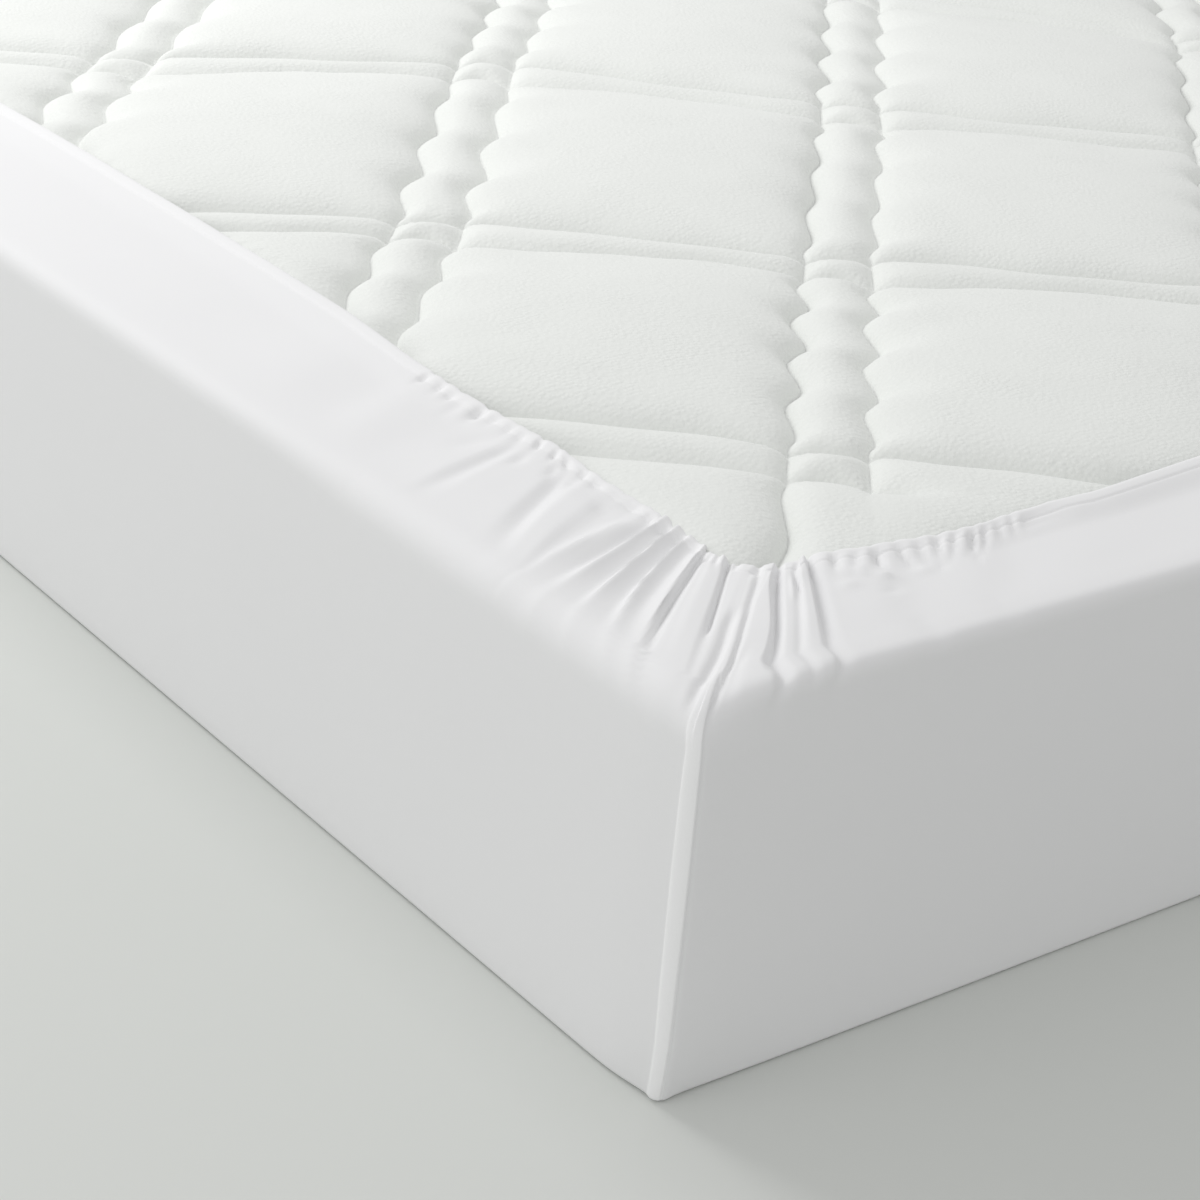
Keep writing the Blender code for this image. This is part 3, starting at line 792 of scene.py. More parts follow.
    def pucker_heights(self, corner: int, lines: SheetLines, from_hem: np.ndarray) -> tuple:
        """The small puckers that the elastic draws in the hem.

        Args:
            corner: Number of the corner.
            lines: The cloth's lines on this row.
            from_hem: Distance of every line's point from the hem's edge, in mm.

        Returns:
            Height of every line, and how far it draws the cloth back from the hem, in mm.
        """
        kind = self.puckers
        local = lines.hem_local(corner, self.corners[corner].hand)
        strength = np.interp(local, *zip(*kind.strength))
        chance = random.Random(self.corners[corner].seed * 7)
        height, draw = np.zeros(len(local)), np.zeros(len(local))
        first_long, last_long = kind.long_places
        for place in self.pucker_places(corner, chance):
            depth, width, length, middle, lean = (
                chance.uniform(*limits)
                for limits in (kind.depth, kind.width, kind.length, kind.middle, kind.lean))
            if corner == 0 and first_long < place < last_long:
                depth, length = kind.long_depth * depth, kind.long_length * length
            away = from_hem - middle
            across = bell((local - place - lean * away) / width)
            height -= depth * across * bell(away / np.where(away > 0, length, kind.edge_length))
            draw += kind.draw * depth * across * bell(from_hem / kind.draw_reach)
        height, draw = height * strength, draw * strength
        if corner == 0:
            for dimple in HEM_DIMPLES:
                height += (dimple.rise * bell((local - dimple.place) / dimple.half_width)
                           * bell((from_hem - dimple.from_hem) / dimple.half_length))
        return height, draw

    def soft_waves(self, points: np.ndarray, scale: float, seed: float) -> np.ndarray:
        """Slow unevenness of the cloth, about -1 to 1, at 3-D points."""
        return np.array([noise.noise(Vector(point) * scale + Vector((seed, 0, 0))) for point in points])

    # ---- rows
    def drawn(self, lines: SheetLines, height: float | np.ndarray) -> np.ndarray:
        """How far the corner seams draw the cloth from its square outline.

        Args:
            lines: The cloth's lines on this row.
            height: Height of the row, or of each of its points, in metres.

        Returns:
            Shift in plan of every line, in metres.
        """
        heights, along, out = zip(*self.corner_draw)
        along, out = np.interp(height, heights, along), np.interp(height, heights, out)
        total = np.zeros((len(lines.place), 2))
        for corner in range(4):
            hand = self.corners[corner].hand
            leaving, back = self.outline.axes(corner)
            if hand is Hand.MIRRORED:
                leaving, back = back, leaving
            away = lines.local(corner, hand)
            share = MM if corner == 0 else self.far_draw * MM
            reach_along, reach_out = self.draw_reach
            total += share * (along * bell(away / reach_along))[:, None] * np.array(leaving)
            total -= share * (out * bell(away / reach_out))[:, None] * np.array(back)
        return total

    def beak_shape(self, distance: np.ndarray) -> np.ndarray:
        """Share of the beak at distances from the seam in mm: steep on the arriving side."""
        return bell(distance / np.where(distance < 0, *self.beak_reach))

    def low_row(self, inset: float, height: float, beak: float, raised: float) -> np.ndarray:
        """One row of the panel or of its bend up to the side.

        Args:
            inset: Distance in from the outer edge.
            height: Height above the surface.
            beak: How far the seam's lower end stands out.
            raised: Share of the seam's ridge that shows.

        Returns:
            A point for every line.
        """
        lines = self.lines_at(self.seam_path[0][0])
        plan = lines.edge - inset * lines.outward
        out = np.zeros(len(plan))
        for corner in range(4):
            distance = self.seam_distance(corner, self.seam_path[0][0], lines, lines.edge)
            ridge = self.seam_profile(distance, self.seam_low_half)
            out += beak * self.beak_shape(distance) + raised * ridge * MM
        plan = plan + out[:, None] * lines.outward + self.drawn(lines, height)
        return np.column_stack([plan, np.full(len(plan), height)])

    def side_row(self, height: float, bow: float) -> np.ndarray:
        """One row of the sides, with the corner seams raised and a slow unevenness."""
        lines = self.lines_at(self.seam_path[0][0])
        base = np.column_stack([lines.edge, np.full(len(lines.edge), height)])
        waves = self.soft_waves(base, scale=4.0, seed=3.0)
        out = bow * self.side_bow + self.side_wave * waves * bow
        widened = min(height / self.seam_widened, 1.0)
        half = self.seam_low_half + (self.seam_half_width - self.seam_low_half) * widened
        beak_top, beak_fade = self.beak_top
        low = ramp(height, beak_top, -beak_fade)
        for corner in range(4):
            distance = self.seam_distance(corner, self.seam_path[0][0], lines, lines.edge)
            out = out + self.seam_profile(distance, half) * MM
            out = out + self.beak[2] * low * self.beak_shape(distance)
        base[:, :2] += out[:, None] * lines.outward + self.drawn(lines, height)
        return base

    def band_row(self, across: float, from_hem: float | None, angle: float) -> np.ndarray:
        """One row of the turn, the band or the hem.

        Args:
            across: Share of the way from the turn to the hem; negative on the turn.
            from_hem: Distance from the hem's edge in mm, or None away from the hem.
            angle: Angle of the cloth on the turn, 0 on the side and a right angle on the band.

        Returns:
            A point for every line.
        """
        lines = self.lines_at(across)
        run = lines.hem - lines.turn
        reach = np.linalg.norm(run, axis=1)
        toward_hem = run / reach[:, None]
        on_turn = across < 0
        up, out = np.ones(len(reach)), np.zeros(len(reach))
        level = np.full(len(reach), self.band_top)
        if on_turn:
            power = 2 / np.interp(self.lines.along, *zip(*self.turn_shape))
            over, climb = 1 - math.cos(angle) ** power, math.sin(angle) ** power
            plan = lines.edge + (lines.turn - lines.edge) * over[:, None]
            level = level - (1 - climb) * self.turn_height
            up, out = math.sin(angle) ** (2 - power), math.cos(angle) ** (2 - power)
            size = np.hypot(up, out)
            up, out = up / size, out / size
            plan = plan + self.drawn(lines, level)
        elif from_hem is None:
            clear = 1 - self.hem_depth * MM / reach
            plan = lines.turn + run * (across / self.main_share * clear)[:, None]
        else:
            plan = lines.hem - toward_hem * from_hem * MM
        gap = reach / MM * (1 - across) if from_hem is None else np.full(len(reach), from_hem)
        rise, seam, draw = np.zeros(len(plan)), np.zeros(len(plan)), np.zeros(len(plan))
        for corner in range(4):
            hand = self.corners[corner].hand
            rise += self.fold_heights(corner, across, lines)
            rise += self.dent_heights(corner, across, lines, plan)
            distance = self.seam_distance(corner, across, lines, plan)
            fade = 1 - self.seam_loss * ramp(across, *self.seam_sinks)
            seam += self.seam_profile(distance, self.seam_half_width) * fade
            lift = np.interp(lines.hem_local(corner, hand), *zip(*self.hem_lift))
            rise += lift * ramp(across, *self.padding_lifts) * (lines.corner == corner)
            if across > 0.4:
                height, back = self.pucker_heights(corner, lines, gap)
                rise, draw = rise + height, draw + back
        if from_hem is not None:
            rise += float(np.interp(from_hem, *zip(*self.hem_shape)))
        plan = plan - toward_hem * (draw * MM)[:, None]
        waves = self.soft_waves(np.column_stack([plan, level]), scale=22.0, seed=9.0)
        rise += self.band_wave * waves * held_share(across * 3)
        rise = np.maximum(rise, self.deepest)
        moved = (rise * ease(angle / 1.2) + seam) * MM
        plan = plan + (moved * out)[:, None] * lines.outward
        return np.column_stack([plan, level + moved * up])

    def rows(self) -> list[np.ndarray]:
        """Every row of the cloth, from the panel to the hem."""
        rows = []
        beak_floor, beak_bend, _ = self.beak
        for inset, drop, angle in reversed(quarter_round(4)):
            share = math.sin(angle)
            beak = beak_floor * share + beak_bend * (1 - share)
            rows.append(self.low_row(inset * self.bottom_round, drop * self.bottom_round,
                                     beak, 1 - share))
        rows.insert(0, rows[0] * (self.panel_share, self.panel_share, 1.0))
        for height, bow in self.side_rows:
            rows.append(self.side_row(height, bow))
        steps = self.turn_spans
        for step in range(steps):
            angle = math.pi / 2 * step / steps
            rows.append(self.band_row(-self.turn_share * (1 - step / steps), None, angle))
        steps = self.band_spans
        for step in range(steps + 1):
            rows.append(self.band_row(self.main_share * step / steps, None, math.pi / 2))
        for from_hem in self.hem_rows:
            share = 1 - (1 - self.main_share) * from_hem / self.hem_depth
            rows.append(self.band_row(share, from_hem, math.pi / 2))
        return rows

    # ---- mesh
    def build(self, material: bpy.types.Material) -> bpy.types.Object:
        """Build the cloth as one thin closed solid.

        Args:
            material: The cotton.

        Returns:
            The sheet's object.
        """
        points = np.array(self.rows())
        mesh = grid_mesh(Piece.SHEET.value, points, closed=True)
        bm = bmesh.new()
        bm.from_mesh(mesh)
        bm.verts.ensure_lookup_table()
        count = points.shape[1]
        bm.faces.new([bm.verts[n] for n in reversed(range(count))])
        bm.to_mesh(mesh)
        bm.free()
        self.lay_out_cloth(mesh, points)
        mesh.shade_smooth()
        sheet = place_object(Piece.SHEET.value, mesh, material)
        skin = sheet.modifiers.new("cloth", "SOLIDIFY")
        skin.thickness = self.thickness
        skin.offset = -1.0
        skin.use_even_offset = False
        skin.use_rim = True
        return sheet

    def lay_out_cloth(self, mesh: bpy.types.Mesh, points: np.ndarray) -> None:
        """Give the cloth flat coordinates in metres, and a mask of its doubled parts and of the seams'
        painted light.

        Args:
            mesh: The sheet's mesh.
            points: Its rows of points.
        """
        rows, count = points.shape[:2]
        along = np.linalg.norm(np.diff(self.lines.edge, axis=0, append=self.lines.edge[:1]), axis=1)
        start = np.concatenate([[0.0], np.cumsum(along)])
        climb = np.linalg.norm(np.diff(points, axis=0), axis=2)
        up = np.concatenate([np.zeros((1, count)), np.cumsum(climb, axis=0)])
        layer = mesh.uv_layers.new(name="cloth")
        uv = np.zeros((len(mesh.loops), 2))
        quads = (rows - 1) * count
        across = np.tile(np.arange(count), rows - 1)
        row = np.repeat(np.arange(rows - 1), count)
        following = (across + 1) % count
        corners = ((across, row, 0), (following, row, 1), (following, row + 1, 1), (across, row + 1, 0))
        for number, (column, level, ahead) in enumerate(corners):
            uv[number:quads * 4:4, 0] = start[across + ahead]
            uv[number:quads * 4:4, 1] = up[level, column]
        uv[quads * 4:] = points[0][::-1][:, :2]
        layer.data.foreach_set("uv", uv.ravel())
        doubled_and_painted_light = mesh.attributes.new("doubled_and_painted_light", "FLOAT", "POINT")
        doubled_and_painted_light.data.foreach_set("value", self.doubled_and_painted_light(points).ravel())

    def doubled_and_painted_light(self, points: np.ndarray) -> np.ndarray:
        """Where the cloth is paler, 0 to 1 for every point: the seams, where the paler colour is
        doubled cloth and partly painted light, and less so the doubled hem.
        """
        mask = np.zeros(points.shape[:2])
        mask[-self.doubled_rows:] = self.doubled_hem
        # on the seams the paler colour is partly painted light: full on the sides, where the strip
        # catches the light, and fading up over the band
        fade_start, fade_run, loss = self.doubled_and_painted_light_fade
        for corner in range(4):
            distance = np.abs(self.lines.local(corner, self.corners[corner].hand))
            strip = 1 - ease(distance - self.seam_half_width / self.crowding + 0.5)
            height = np.clip((points[..., 2] - fade_start) / fade_run, 0.0, 1.0)
            mask = np.maximum(mask, strip * (1 - loss * height))
        return mask

    def declare(self, sheet: bpy.types.Object) -> None:
        """Attach the sheet to the root body and hide the model's own fitted sheet."""
        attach(sheet, "root")
        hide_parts("fitted_sheet")


# ----------------------------------------------------------------------------- mattress
@dataclass
class Quilting:
    """The sewn lattice of the mattress's face: padded bands and domed pillows.

    A bands run along run_a and B bands along run_b.  Slow sines stand in for the sewing's
    unevenness from cell to cell.
    """

    node: Vector = field(default_factory=lambda: Vector((-0.512, 0.442)))
    run_a: Vector = field(default_factory=lambda: Vector((0.2143, -0.1492)))
    run_b: Vector = field(default_factory=lambda: Vector((0.2343, 0.2625)))
    band_half: float = 17.0         # mm, from a band's middle to its stitching, before widening
    wide_a: tuple[float, float] = (2.0, 10.0)    # mm, widening of an A band at its far and near end
    wide_b: float = 4.0             # mm, widening of a B band
    widen_run: float = 70.0         # mm, over which the widening fades into the pillow
    stitch_a: float = 9.0           # mm, depth of the stitching beside an A band
    stitch_b: float = 10.0
    band_drop: float = 0.2
    shoulder: float = 8.0           # mm, how quickly a pillow climbs from its stitching
    crown: float = 9.5
    scallop_pitch: float = 84.0     # mm, along a B band
    scallop_reach: float = 5.2      # mm, how far it strays sideways
    scallop_back: float = 0.42      # share of the pitch in which it comes back
    bead: float = 1.3               # mm, how far the scallops swell
    scallop_near: tuple[float, float] = (20.0, 40.0)    # mm, where it starts to fade, and the run
    scallop_clear: tuple[float, float] = (20.0, 18.0)   # mm, the same, away from an A band
    waver_near: tuple[float, float] = (17.0, 60.0)      # mm, the same, for an A band's waver
    # (height, length over which it turns, shift from band to band) of an A band's wavers, mm
    slow_waver: tuple[float, float, float] = (2.6, 34.0, 2.1)
    quick_waver: tuple[float, float, float] = (1.0, 12.5, 1.3)
    stitch_power: float = 2.1       # how late a band falls to its stitching
    dome_power: float = 2.4         # how soon a pillow reaches its crown
    phase_sway: float = 0.37        # how far the scallops' phase varies, as a share of the pitch
    pitch_sway: float = 0.1         # how far their pitch varies
    scallop_straight: float = 0.35  # share of their slow way out that is straight
    crossing_dip: float = 0.35      # how much deeper an A band's stitching is at a crossing
    crossing_reach: float = 16.0    # mm
    # distances from a band's middle at which the face has points, mm
    band_steps: tuple[float, ...] = (0, 4.5, 9, 13, 15.4, 17, 18.4, 20.6, 24, 30)
    merge_node: tuple[int, int] = (2, -3)    # past this node two bands run together in one pad
    cells_a: tuple[int, int] = (-7, 8)
    cells_b: tuple[int, int] = (-5, 5)
    # (node along A, node along B, shift along X, shift along Y), mm: the sewing isn't even
    strays: tuple[tuple[int, int, float, float], ...] = (
        (2, -1, 13, 8), (2, -2, 1, 4), (2, -3, 22, 28), (1, -2, 22, 19), (1, -1, 36, 59),
        (0, -1, 3, 14), (3, -1, 5, -22), (3, 0, 4, -55), (2, 0, 35, 36), (1, -3, 46, 64),
        (3, 1, 10, -30), (1, 0, 20, 30), (4, 0, 0, -20), (3, -2, 6, -8), (0, 0, 8, 14),
    )

    def cross(self) -> float:
        """Area of one cell of the lattice."""
        return self.run_a.x * self.run_b.y - self.run_a.y * self.run_b.x

    def pitch_a(self) -> float:
        """Distance between A bands, in mm."""
        return self.cross() / self.run_a.length / MM

    def pitch_b(self) -> float:
        """Distance between B bands, in mm."""
        return self.cross() / self.run_b.length / MM

    def steps(self, pitch: float, plain: float) -> list[float]:
        """Places across one cell, from a band's middle to the next, as shares of the pitch."""
        near = list(self.band_steps)
        room = pitch / 2 - near[-1]
        count = max(round(room / plain), 1)
        near += [near[-1] + room * n / count for n in range(1, count + 1)]
        shares = [place / pitch for place in near]
        return shares[:-1] + [1 - share for share in reversed(shares)][:-1]

    def stray(self, a: np.ndarray, b: np.ndarray) -> np.ndarray:
        """Shift of lattice points from the even lattice, in metres."""
        shifts = {(na, nb): (x * MM, y * MM) for na, nb, x, y in self.strays}
        low_a, low_b = np.floor(a).astype(int), np.floor(b).astype(int)
        part_a, part_b = a - low_a, b - low_b
        total = np.zeros(a.shape + (2,))
        for da in (0, 1):
            for db in (0, 1):
                weight = (part_a if da else 1 - part_a) * (part_b if db else 1 - part_b)
                corner = np.array([shifts.get((int(x) + da, int(y) + db), (0.0, 0.0))
                                   for x, y in zip(low_a.ravel(), low_b.ravel())])
                total += weight[..., None] * corner.reshape(a.shape + (2,))
        return total

    def scallop(self, b: np.ndarray, number: np.ndarray) -> np.ndarray:
        """Sideways stray of a B band along its length.

        Args:
            b: Lattice coordinate along the band.
            number: Number of the band.

        Returns:
            1 at the tips of the scallops and -1 between them, uneven from cell to cell.
        """
        cell = np.floor(b)
        phase = 0.5 + self.phase_sway * np.sin(5.1 * cell + 2.3 * number)
        pitch = self.scallop_pitch * (1 + self.pitch_sway * np.sin(3.7 * cell + 1.9 * number))
        turn = ((b - cell) * self.run_b.length / MM / pitch + phase) % 1.0
        back = 1 - 2 * ease(turn / self.scallop_back)
        outward = (turn - self.scallop_back) / (1 - self.scallop_back)
        straight = self.scallop_straight
        rise = 2 * (straight * outward + (1 - straight) * ease(outward)) - 1
        return np.where(turn < self.scallop_back, back, rise)

    def places(self, a: np.ndarray, b: np.ndarray) -> np.ndarray:
        """Plan points of lattice coordinates, with the sewing's unevenness."""
        from_a = (b - np.round(b)) * self.pitch_a()
        from_b = (a - np.round(a)) * self.pitch_b()
        number_a, number_b = np.round(b), np.round(a)
        plan = (np.array(self.node) + a[..., None] * np.array(self.run_a)
                + b[..., None] * np.array(self.run_b) + self.stray(a, b))
        near_b = 1 - ramp(np.abs(from_b), *self.scallop_near)
        clear_b = ramp(np.abs(from_a), *self.scallop_clear)
        uneven = 0.8 + 0.3 * np.sin(2.3 * number_b + 4.0 * b)
        stray_b = -self.scallop_reach * uneven * self.scallop(b, number_b) * near_b * clear_b
        stray_b *= 0.45 + 0.55 * ease(np.abs(from_b) / 12)
        along_a = a * self.run_a.length / MM
        near_a = 1 - ramp(np.abs(from_a), *self.waver_near)
        high, run, shift = self.slow_waver
        stray_a = high * np.sin(along_a / run + shift * number_a + 0.9 * np.sign(from_a)) * near_a
        high, run, shift = self.quick_waver
        stray_a += high * np.sin(along_a / run + shift * number_a) * near_a
        far_end, near_end = self.wide_a
        part = a % 1.0
        widest = (1 - ramp(part, 0.12, 0.4)) * ease(part / 0.1)
        wide_a = far_end + (near_end - far_end) * widest
        stray_a += wide_a * self.widened(from_a)
        stray_b += self.wide_b * self.widened(from_b)
        across_b = np.array((self.run_b.y, -self.run_b.x)) / self.run_b.length
        across_a = np.array((-self.run_a.y, self.run_a.x)) / self.run_a.length
        return plan + (stray_b[..., None] * across_b + stray_a[..., None] * across_a) * MM

    def widened(self, distance: np.ndarray) -> np.ndarray:
        """Share of a band's widening at signed distances from its middle."""
        reach = np.abs(distance)
        inner = np.minimum(reach / self.band_half, 1.0)
        return np.sign(distance) * (inner * (1 - ramp(reach, self.band_half, self.widen_run)))

    def band_profile(self, distance: np.ndarray, stitch: float) -> np.ndarray:
        """Depth of the quilting across one band and the pillow beside it, in mm."""
        share = (distance / self.band_half) ** self.stitch_power
        inner = self.band_drop + (stitch - self.band_drop) * share
        pillow = stitch * np.exp(-np.maximum(distance - self.band_half, 0) / self.shoulder)
        return np.where(distance < self.band_half, inner, pillow)

    def dome(self, distance: np.ndarray, pitch: float) -> np.ndarray:
        """Share of the pillows' crown at distances from a band's middle."""
        share = np.clip((distance - self.band_half) / (pitch / 2 - self.band_half), 0.0, 1.0)
        return 1 - (1 - share) ** self.dome_power

    def depth(self, a: np.ndarray, b: np.ndarray) -> tuple[np.ndarray, np.ndarray]:
        """Find the shape of the face at lattice points.

        Args:
            a: Lattice coordinates along A.
            b: Lattice coordinates along B.

        Returns:
            Depth of the quilting and height of the pillows' crown, in mm.
        """
        from_a = np.abs(b - np.round(b)) * self.pitch_a()
        signed_b = (a - np.round(a)) * self.pitch_b()
        from_b = np.abs(signed_b)
        node_a, node_b = self.merge_node
        past = (a > node_a) & (b < node_b)
        merge_a = np.where(past & (np.round(b) == node_b), ease((a - (node_a + 0.10)) / 0.12), 0.0)
        merge_b = np.where(past & (np.round(a) == node_a), ease((node_b - 0.05 - b) / 0.06), 0.0)
        dip = 1 + self.crossing_dip * bell(from_b / self.crossing_reach)
        depth_a = self.band_profile(from_a, self.stitch_a) * dip
        depth_b = self.band_profile(from_b, self.stitch_b)
        depth_a = depth_a * (1 - merge_a) + np.minimum(depth_a, self.band_drop) * merge_a
        depth_b = depth_b * (1 - merge_b) + np.minimum(depth_b, self.band_drop) * merge_b
        tips = self.scallop(b, np.round(a)) * ramp(from_a, 22, 16)
        swell = self.bead * tips * (bell(from_b / 15.0) + bell((signed_b - 30) / 16.0))
        crown = self.crown * self.dome(from_a, self.pitch_a()) * self.dome(from_b, self.pitch_b())
        deeper = (depth_a ** 4 + depth_b ** 4) ** 0.25
        return deeper - swell, crown


@dataclass
class Mattress:
    """The mattress inside the sheet: quilted face, flat rim, rounded sides and flat sole."""

    length: float = 2.000
    width: float = 1.600
    corner_radius: float = 0.020
    top_round: float = 0.017
    bottom_round: float = 0.014
    rim_top: float = 0.1945
    sole: float = 0.0018
    face_rise: float = 5.5          # mm, of the padding above the rim
    hem_rise: float = 2.2           # mm, at the hem near a corner; twice that away from it
    pressed: tuple[float, float] = (0.26, 0.2)        # how far from a corner the gathers press it
    relief: tuple[float, float] = (-0.030, 0.034)     # from the hem inward, where quilting shows
    unevenness: float = 1.1         # mm, of the pillows
    rise_run: float = 0.018
    rise_start: float = 0.012       # how far outside the hem the padding starts to rise
    trim: float = 0.045             # how far inside the outline the face ends, below the band
    trim_margin: float = 0.25       # whole cells further out than this are dropped first
    side_spans: int = 12
    quilting: Quilting = field(default_factory=Quilting)

    def outline(self) -> Outline:
        """The mattress's outline seen from above."""
        return Outline(self.length / 2, self.width / 2, self.corner_radius)

    def padding(self, plan: np.ndarray, inside: np.ndarray) -> np.ndarray:
        """Rise of the padding above the rim, in mm: less where the gathers press it.

        Args:
            plan: Plan points.
            inside: How far each lies inside the hem.

        Returns:
            The rise at each point.
        """
        signs = ((-1, -1), (-1, 1), (1, -1), (1, 1))
        corners = np.array([(x * self.length / 2, y * self.width / 2) for x, y in signs])
        nearest = np.min(np.linalg.norm(plan[..., None, :] - corners, axis=-1), axis=-1)
        at_hem = self.hem_rise + self.hem_rise * ramp(nearest, *self.pressed)
        climbed = 1 - np.exp(-np.maximum(inside, 0) / self.rise_run)
        within = at_hem + (self.face_rise - at_hem) * climbed
        return np.where(inside > 0, within, at_hem * ease(1 + inside / self.rise_start))

    def face(self, hem_line: HemLine) -> bmesh.types.BMesh:
        """Model the quilted face as a grid along the sewing, trimmed below the sheet's band.

        Args:
            hem_line: The hem that the padding rises inside of.

        Returns:
            The open face.
        """
        quilting = self.quilting
        cell_a = quilting.steps(quilting.pitch_b(), 12.0)
        cell_b = quilting.steps(quilting.pitch_a(), 9.0)
        steps_a = np.array([n + share for n in range(*quilting.cells_a) for share in cell_a])
        steps_b = np.array([n + share for n in range(*quilting.cells_b) for share in cell_b])
        a, b = np.meshgrid(steps_a, steps_b)
        plan = quilting.places(a, b)
        inside = hem_line.inside(plan.reshape(-1, 2)).reshape(a.shape)
        rise = self.padding(plan, inside)
        relief = ramp(inside, *self.relief)
        depth, crown = quilting.depth(a, b)
        soft = np.array([noise.noise(Vector((x * 16, y * 16, 0.3)))
                         + 0.5 * noise.noise(Vector((x * 45, y * 45, 2.0)))
                         for x, y in plan.reshape(-1, 2)]).reshape(a.shape)
        height = rise - depth * relief + crown * rise / self.face_rise
        height += self.unevenness * soft * ease(inside / 0.03) * ease(crown / 2.0)
        height = self.rim_top + height * MM
        mesh = grid_mesh("face", np.dstack([plan, height]), closed=False)
        bm = bmesh.new()
        bm.from_mesh(mesh)
        bpy.data.meshes.remove(mesh)
        reach_x, reach_y = self.length / 2 - self.trim, self.width / 2 - self.trim
        margin = self.trim_margin
        far = [vert for vert in bm.verts
               if abs(vert.co.x) > reach_x + margin or abs(vert.co.y) > reach_y + margin]
        bmesh.ops.delete(bm, geom=far, context="VERTS")
        for normal, reach in (((1, 0, 0), reach_x), ((-1, 0, 0), reach_x),
                              ((0, 1, 0), reach_y), ((0, -1, 0), reach_y)):
            bmesh.ops.bisect_plane(bm, geom=bm.verts[:] + bm.edges[:] + bm.faces[:], dist=1e-6,
                                   plane_co=Vector(normal) * reach, plane_no=normal, clear_outer=True)
        for vert in bm.verts:
            if vert.is_boundary:
                vert.co.z = self.rim_top
        return bm

    def skirt(self, bm: bmesh.types.BMesh) -> None:
        """Add the sole, the rounded sides and the flat rim below the band to the face."""
        inner = [edge for edge in bm.edges if edge.is_boundary]
        outline = self.outline()
        radius = self.corner_radius
        plan = []
        for corner in range(4):
            plan += [(corner, radius * share) for share in (-1.0, -0.67, -0.33, 0.0, 0.33, 0.67, 1.0)]
            run = (self.width if corner % 2 else self.length) - 2 * radius
            plan += [(corner, radius + run * step / self.side_spans)
                     for step in range(1, self.side_spans)]
        profile = [(i * self.bottom_round, self.sole + d * self.bottom_round)
                   for i, d, _ in reversed(quarter_round(4))]
        profile += [(i * self.top_round, self.rim_top - d * self.top_round)
                    for i, d, _ in quarter_round(5)]
        rings = []
        for inset, height in profile:
            ring = []
            for corner, place in plan:
                point, outward = outline.at(corner, place)
                point = point - inset * outward
                ring.append(bm.verts.new((point.x, point.y, height)))
            rings.append(ring)
        for lower, upper in zip(rings, rings[1:]):
            for i in range(len(lower)):
                j = (i + 1) % len(lower)
                bm.faces.new((lower[i], lower[j], upper[j], upper[i]))
        bm.faces.new(list(reversed(rings[0])))
        rim = set(rings[-1])
        outer = [edge for edge in bm.edges if edge.is_boundary and set(edge.verts) <= rim]
        bmesh.ops.triangle_fill(bm, use_beauty=True, use_dissolve=False, edges=inner + outer,
                                normal=(0, 0, 1))
        bmesh.ops.recalc_face_normals(bm, faces=bm.faces[:])

    def build(self, hem_line: HemLine, material: bpy.types.Material) -> bpy.types.Object:
        """Build the whole mattress.

        Args:
            hem_line: The sheet's hem.
            material: The padded knit.

        Returns:
            The mattress's object.
        """
        bm = self.face(hem_line)
        self.skirt(bm)
        mesh = bpy.data.meshes.new(Piece.MATTRESS.value)
        bm.to_mesh(mesh)
        bm.free()
        mesh.shade_smooth()
        mattress = place_object(Piece.MATTRESS.value, mesh, material)
        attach(mattress, "root")
        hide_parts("mattress")
        return mattress


# ----------------------------------------------------------------------------- finishes
Feed = bpy.types.NodeSocket | float | tuple[float, ...]


class NodeSketch:
    """Short way to add and join shader nodes."""

    def __init__(self, tree: bpy.types.NodeTree) -> None:
        """Work on one node tree."""
        self.tree = tree

    def feed(self, entry: bpy.types.NodeSocket, value: Feed) -> None:
        """Join a socket to an input, or set the input to a number or colour."""
        if isinstance(value, bpy.types.NodeSocket):
            self.tree.links.new(value, entry)
        else:
            entry.default_value = value

    def add(self, kind: str, inputs: dict[str | int, Feed] | None = None, **values) -> bpy.types.Node:
        """Add a node.

        Args:
            kind: Its type.
            inputs: What goes into its inputs, for those that don't stay as they are.
            **values: The node's own properties, set before its inputs.

        Returns:
            The new node.
        """
        node = self.tree.nodes.new(kind)
        for name, value in values.items():
            setattr(node, name, value)
        for label, value in (inputs or {}).items():
            self.feed(node.inputs[label], value)
        return node

    def math(self, operation: str, first: Feed, second: Feed = 0.0) -> bpy.types.NodeSocket:
        """Add a math node and return its output."""
        return self.add("ShaderNodeMath", {0: first, 1: second}, operation=operation).outputs[0]

    def mix(self, first: Feed, second: Feed, factor: Feed) -> bpy.types.NodeSocket:
        """Mix two colours and return the result."""
        inputs = {"A": first, "B": second, "Factor": factor}
        return self.add("ShaderNodeMix", inputs, data_type="RGBA").outputs["Result"]

    def use(self, group: str, **inputs: Feed) -> bpy.types.Node:
        """Add one of the shared node groups."""
        return self.add("ShaderNodeGroup", inputs, node_tree=bpy.data.node_groups[group])


def new_group(name: str, inputs: dict[str, float], outputs: tuple[str, ...]) -> bpy.types.NodeTree:
    """Start a shader node group.

    Args:
        name: Name of the group.
        inputs: Number inputs with their usual values; a group always has a Vector input too.
        outputs: Names of its number outputs.

    Returns:
        The group, with its input and output nodes named "in" and "out".
    """
    group = bpy.data.node_groups.new(name, "ShaderNodeTree")
    group.interface.new_socket("Vector", in_out="INPUT", socket_type="NodeSocketVector")
    for label, value in inputs.items():
        socket = group.interface.new_socket(label, in_out="INPUT", socket_type="NodeSocketFloat")
        socket.default_value = value
    for label in outputs:
        group.interface.new_socket(label, in_out="OUTPUT", socket_type="NodeSocketFloat")
    group.nodes.new("NodeGroupInput").name = "in"
    group.nodes.new("NodeGroupOutput").name = "out"
    return group


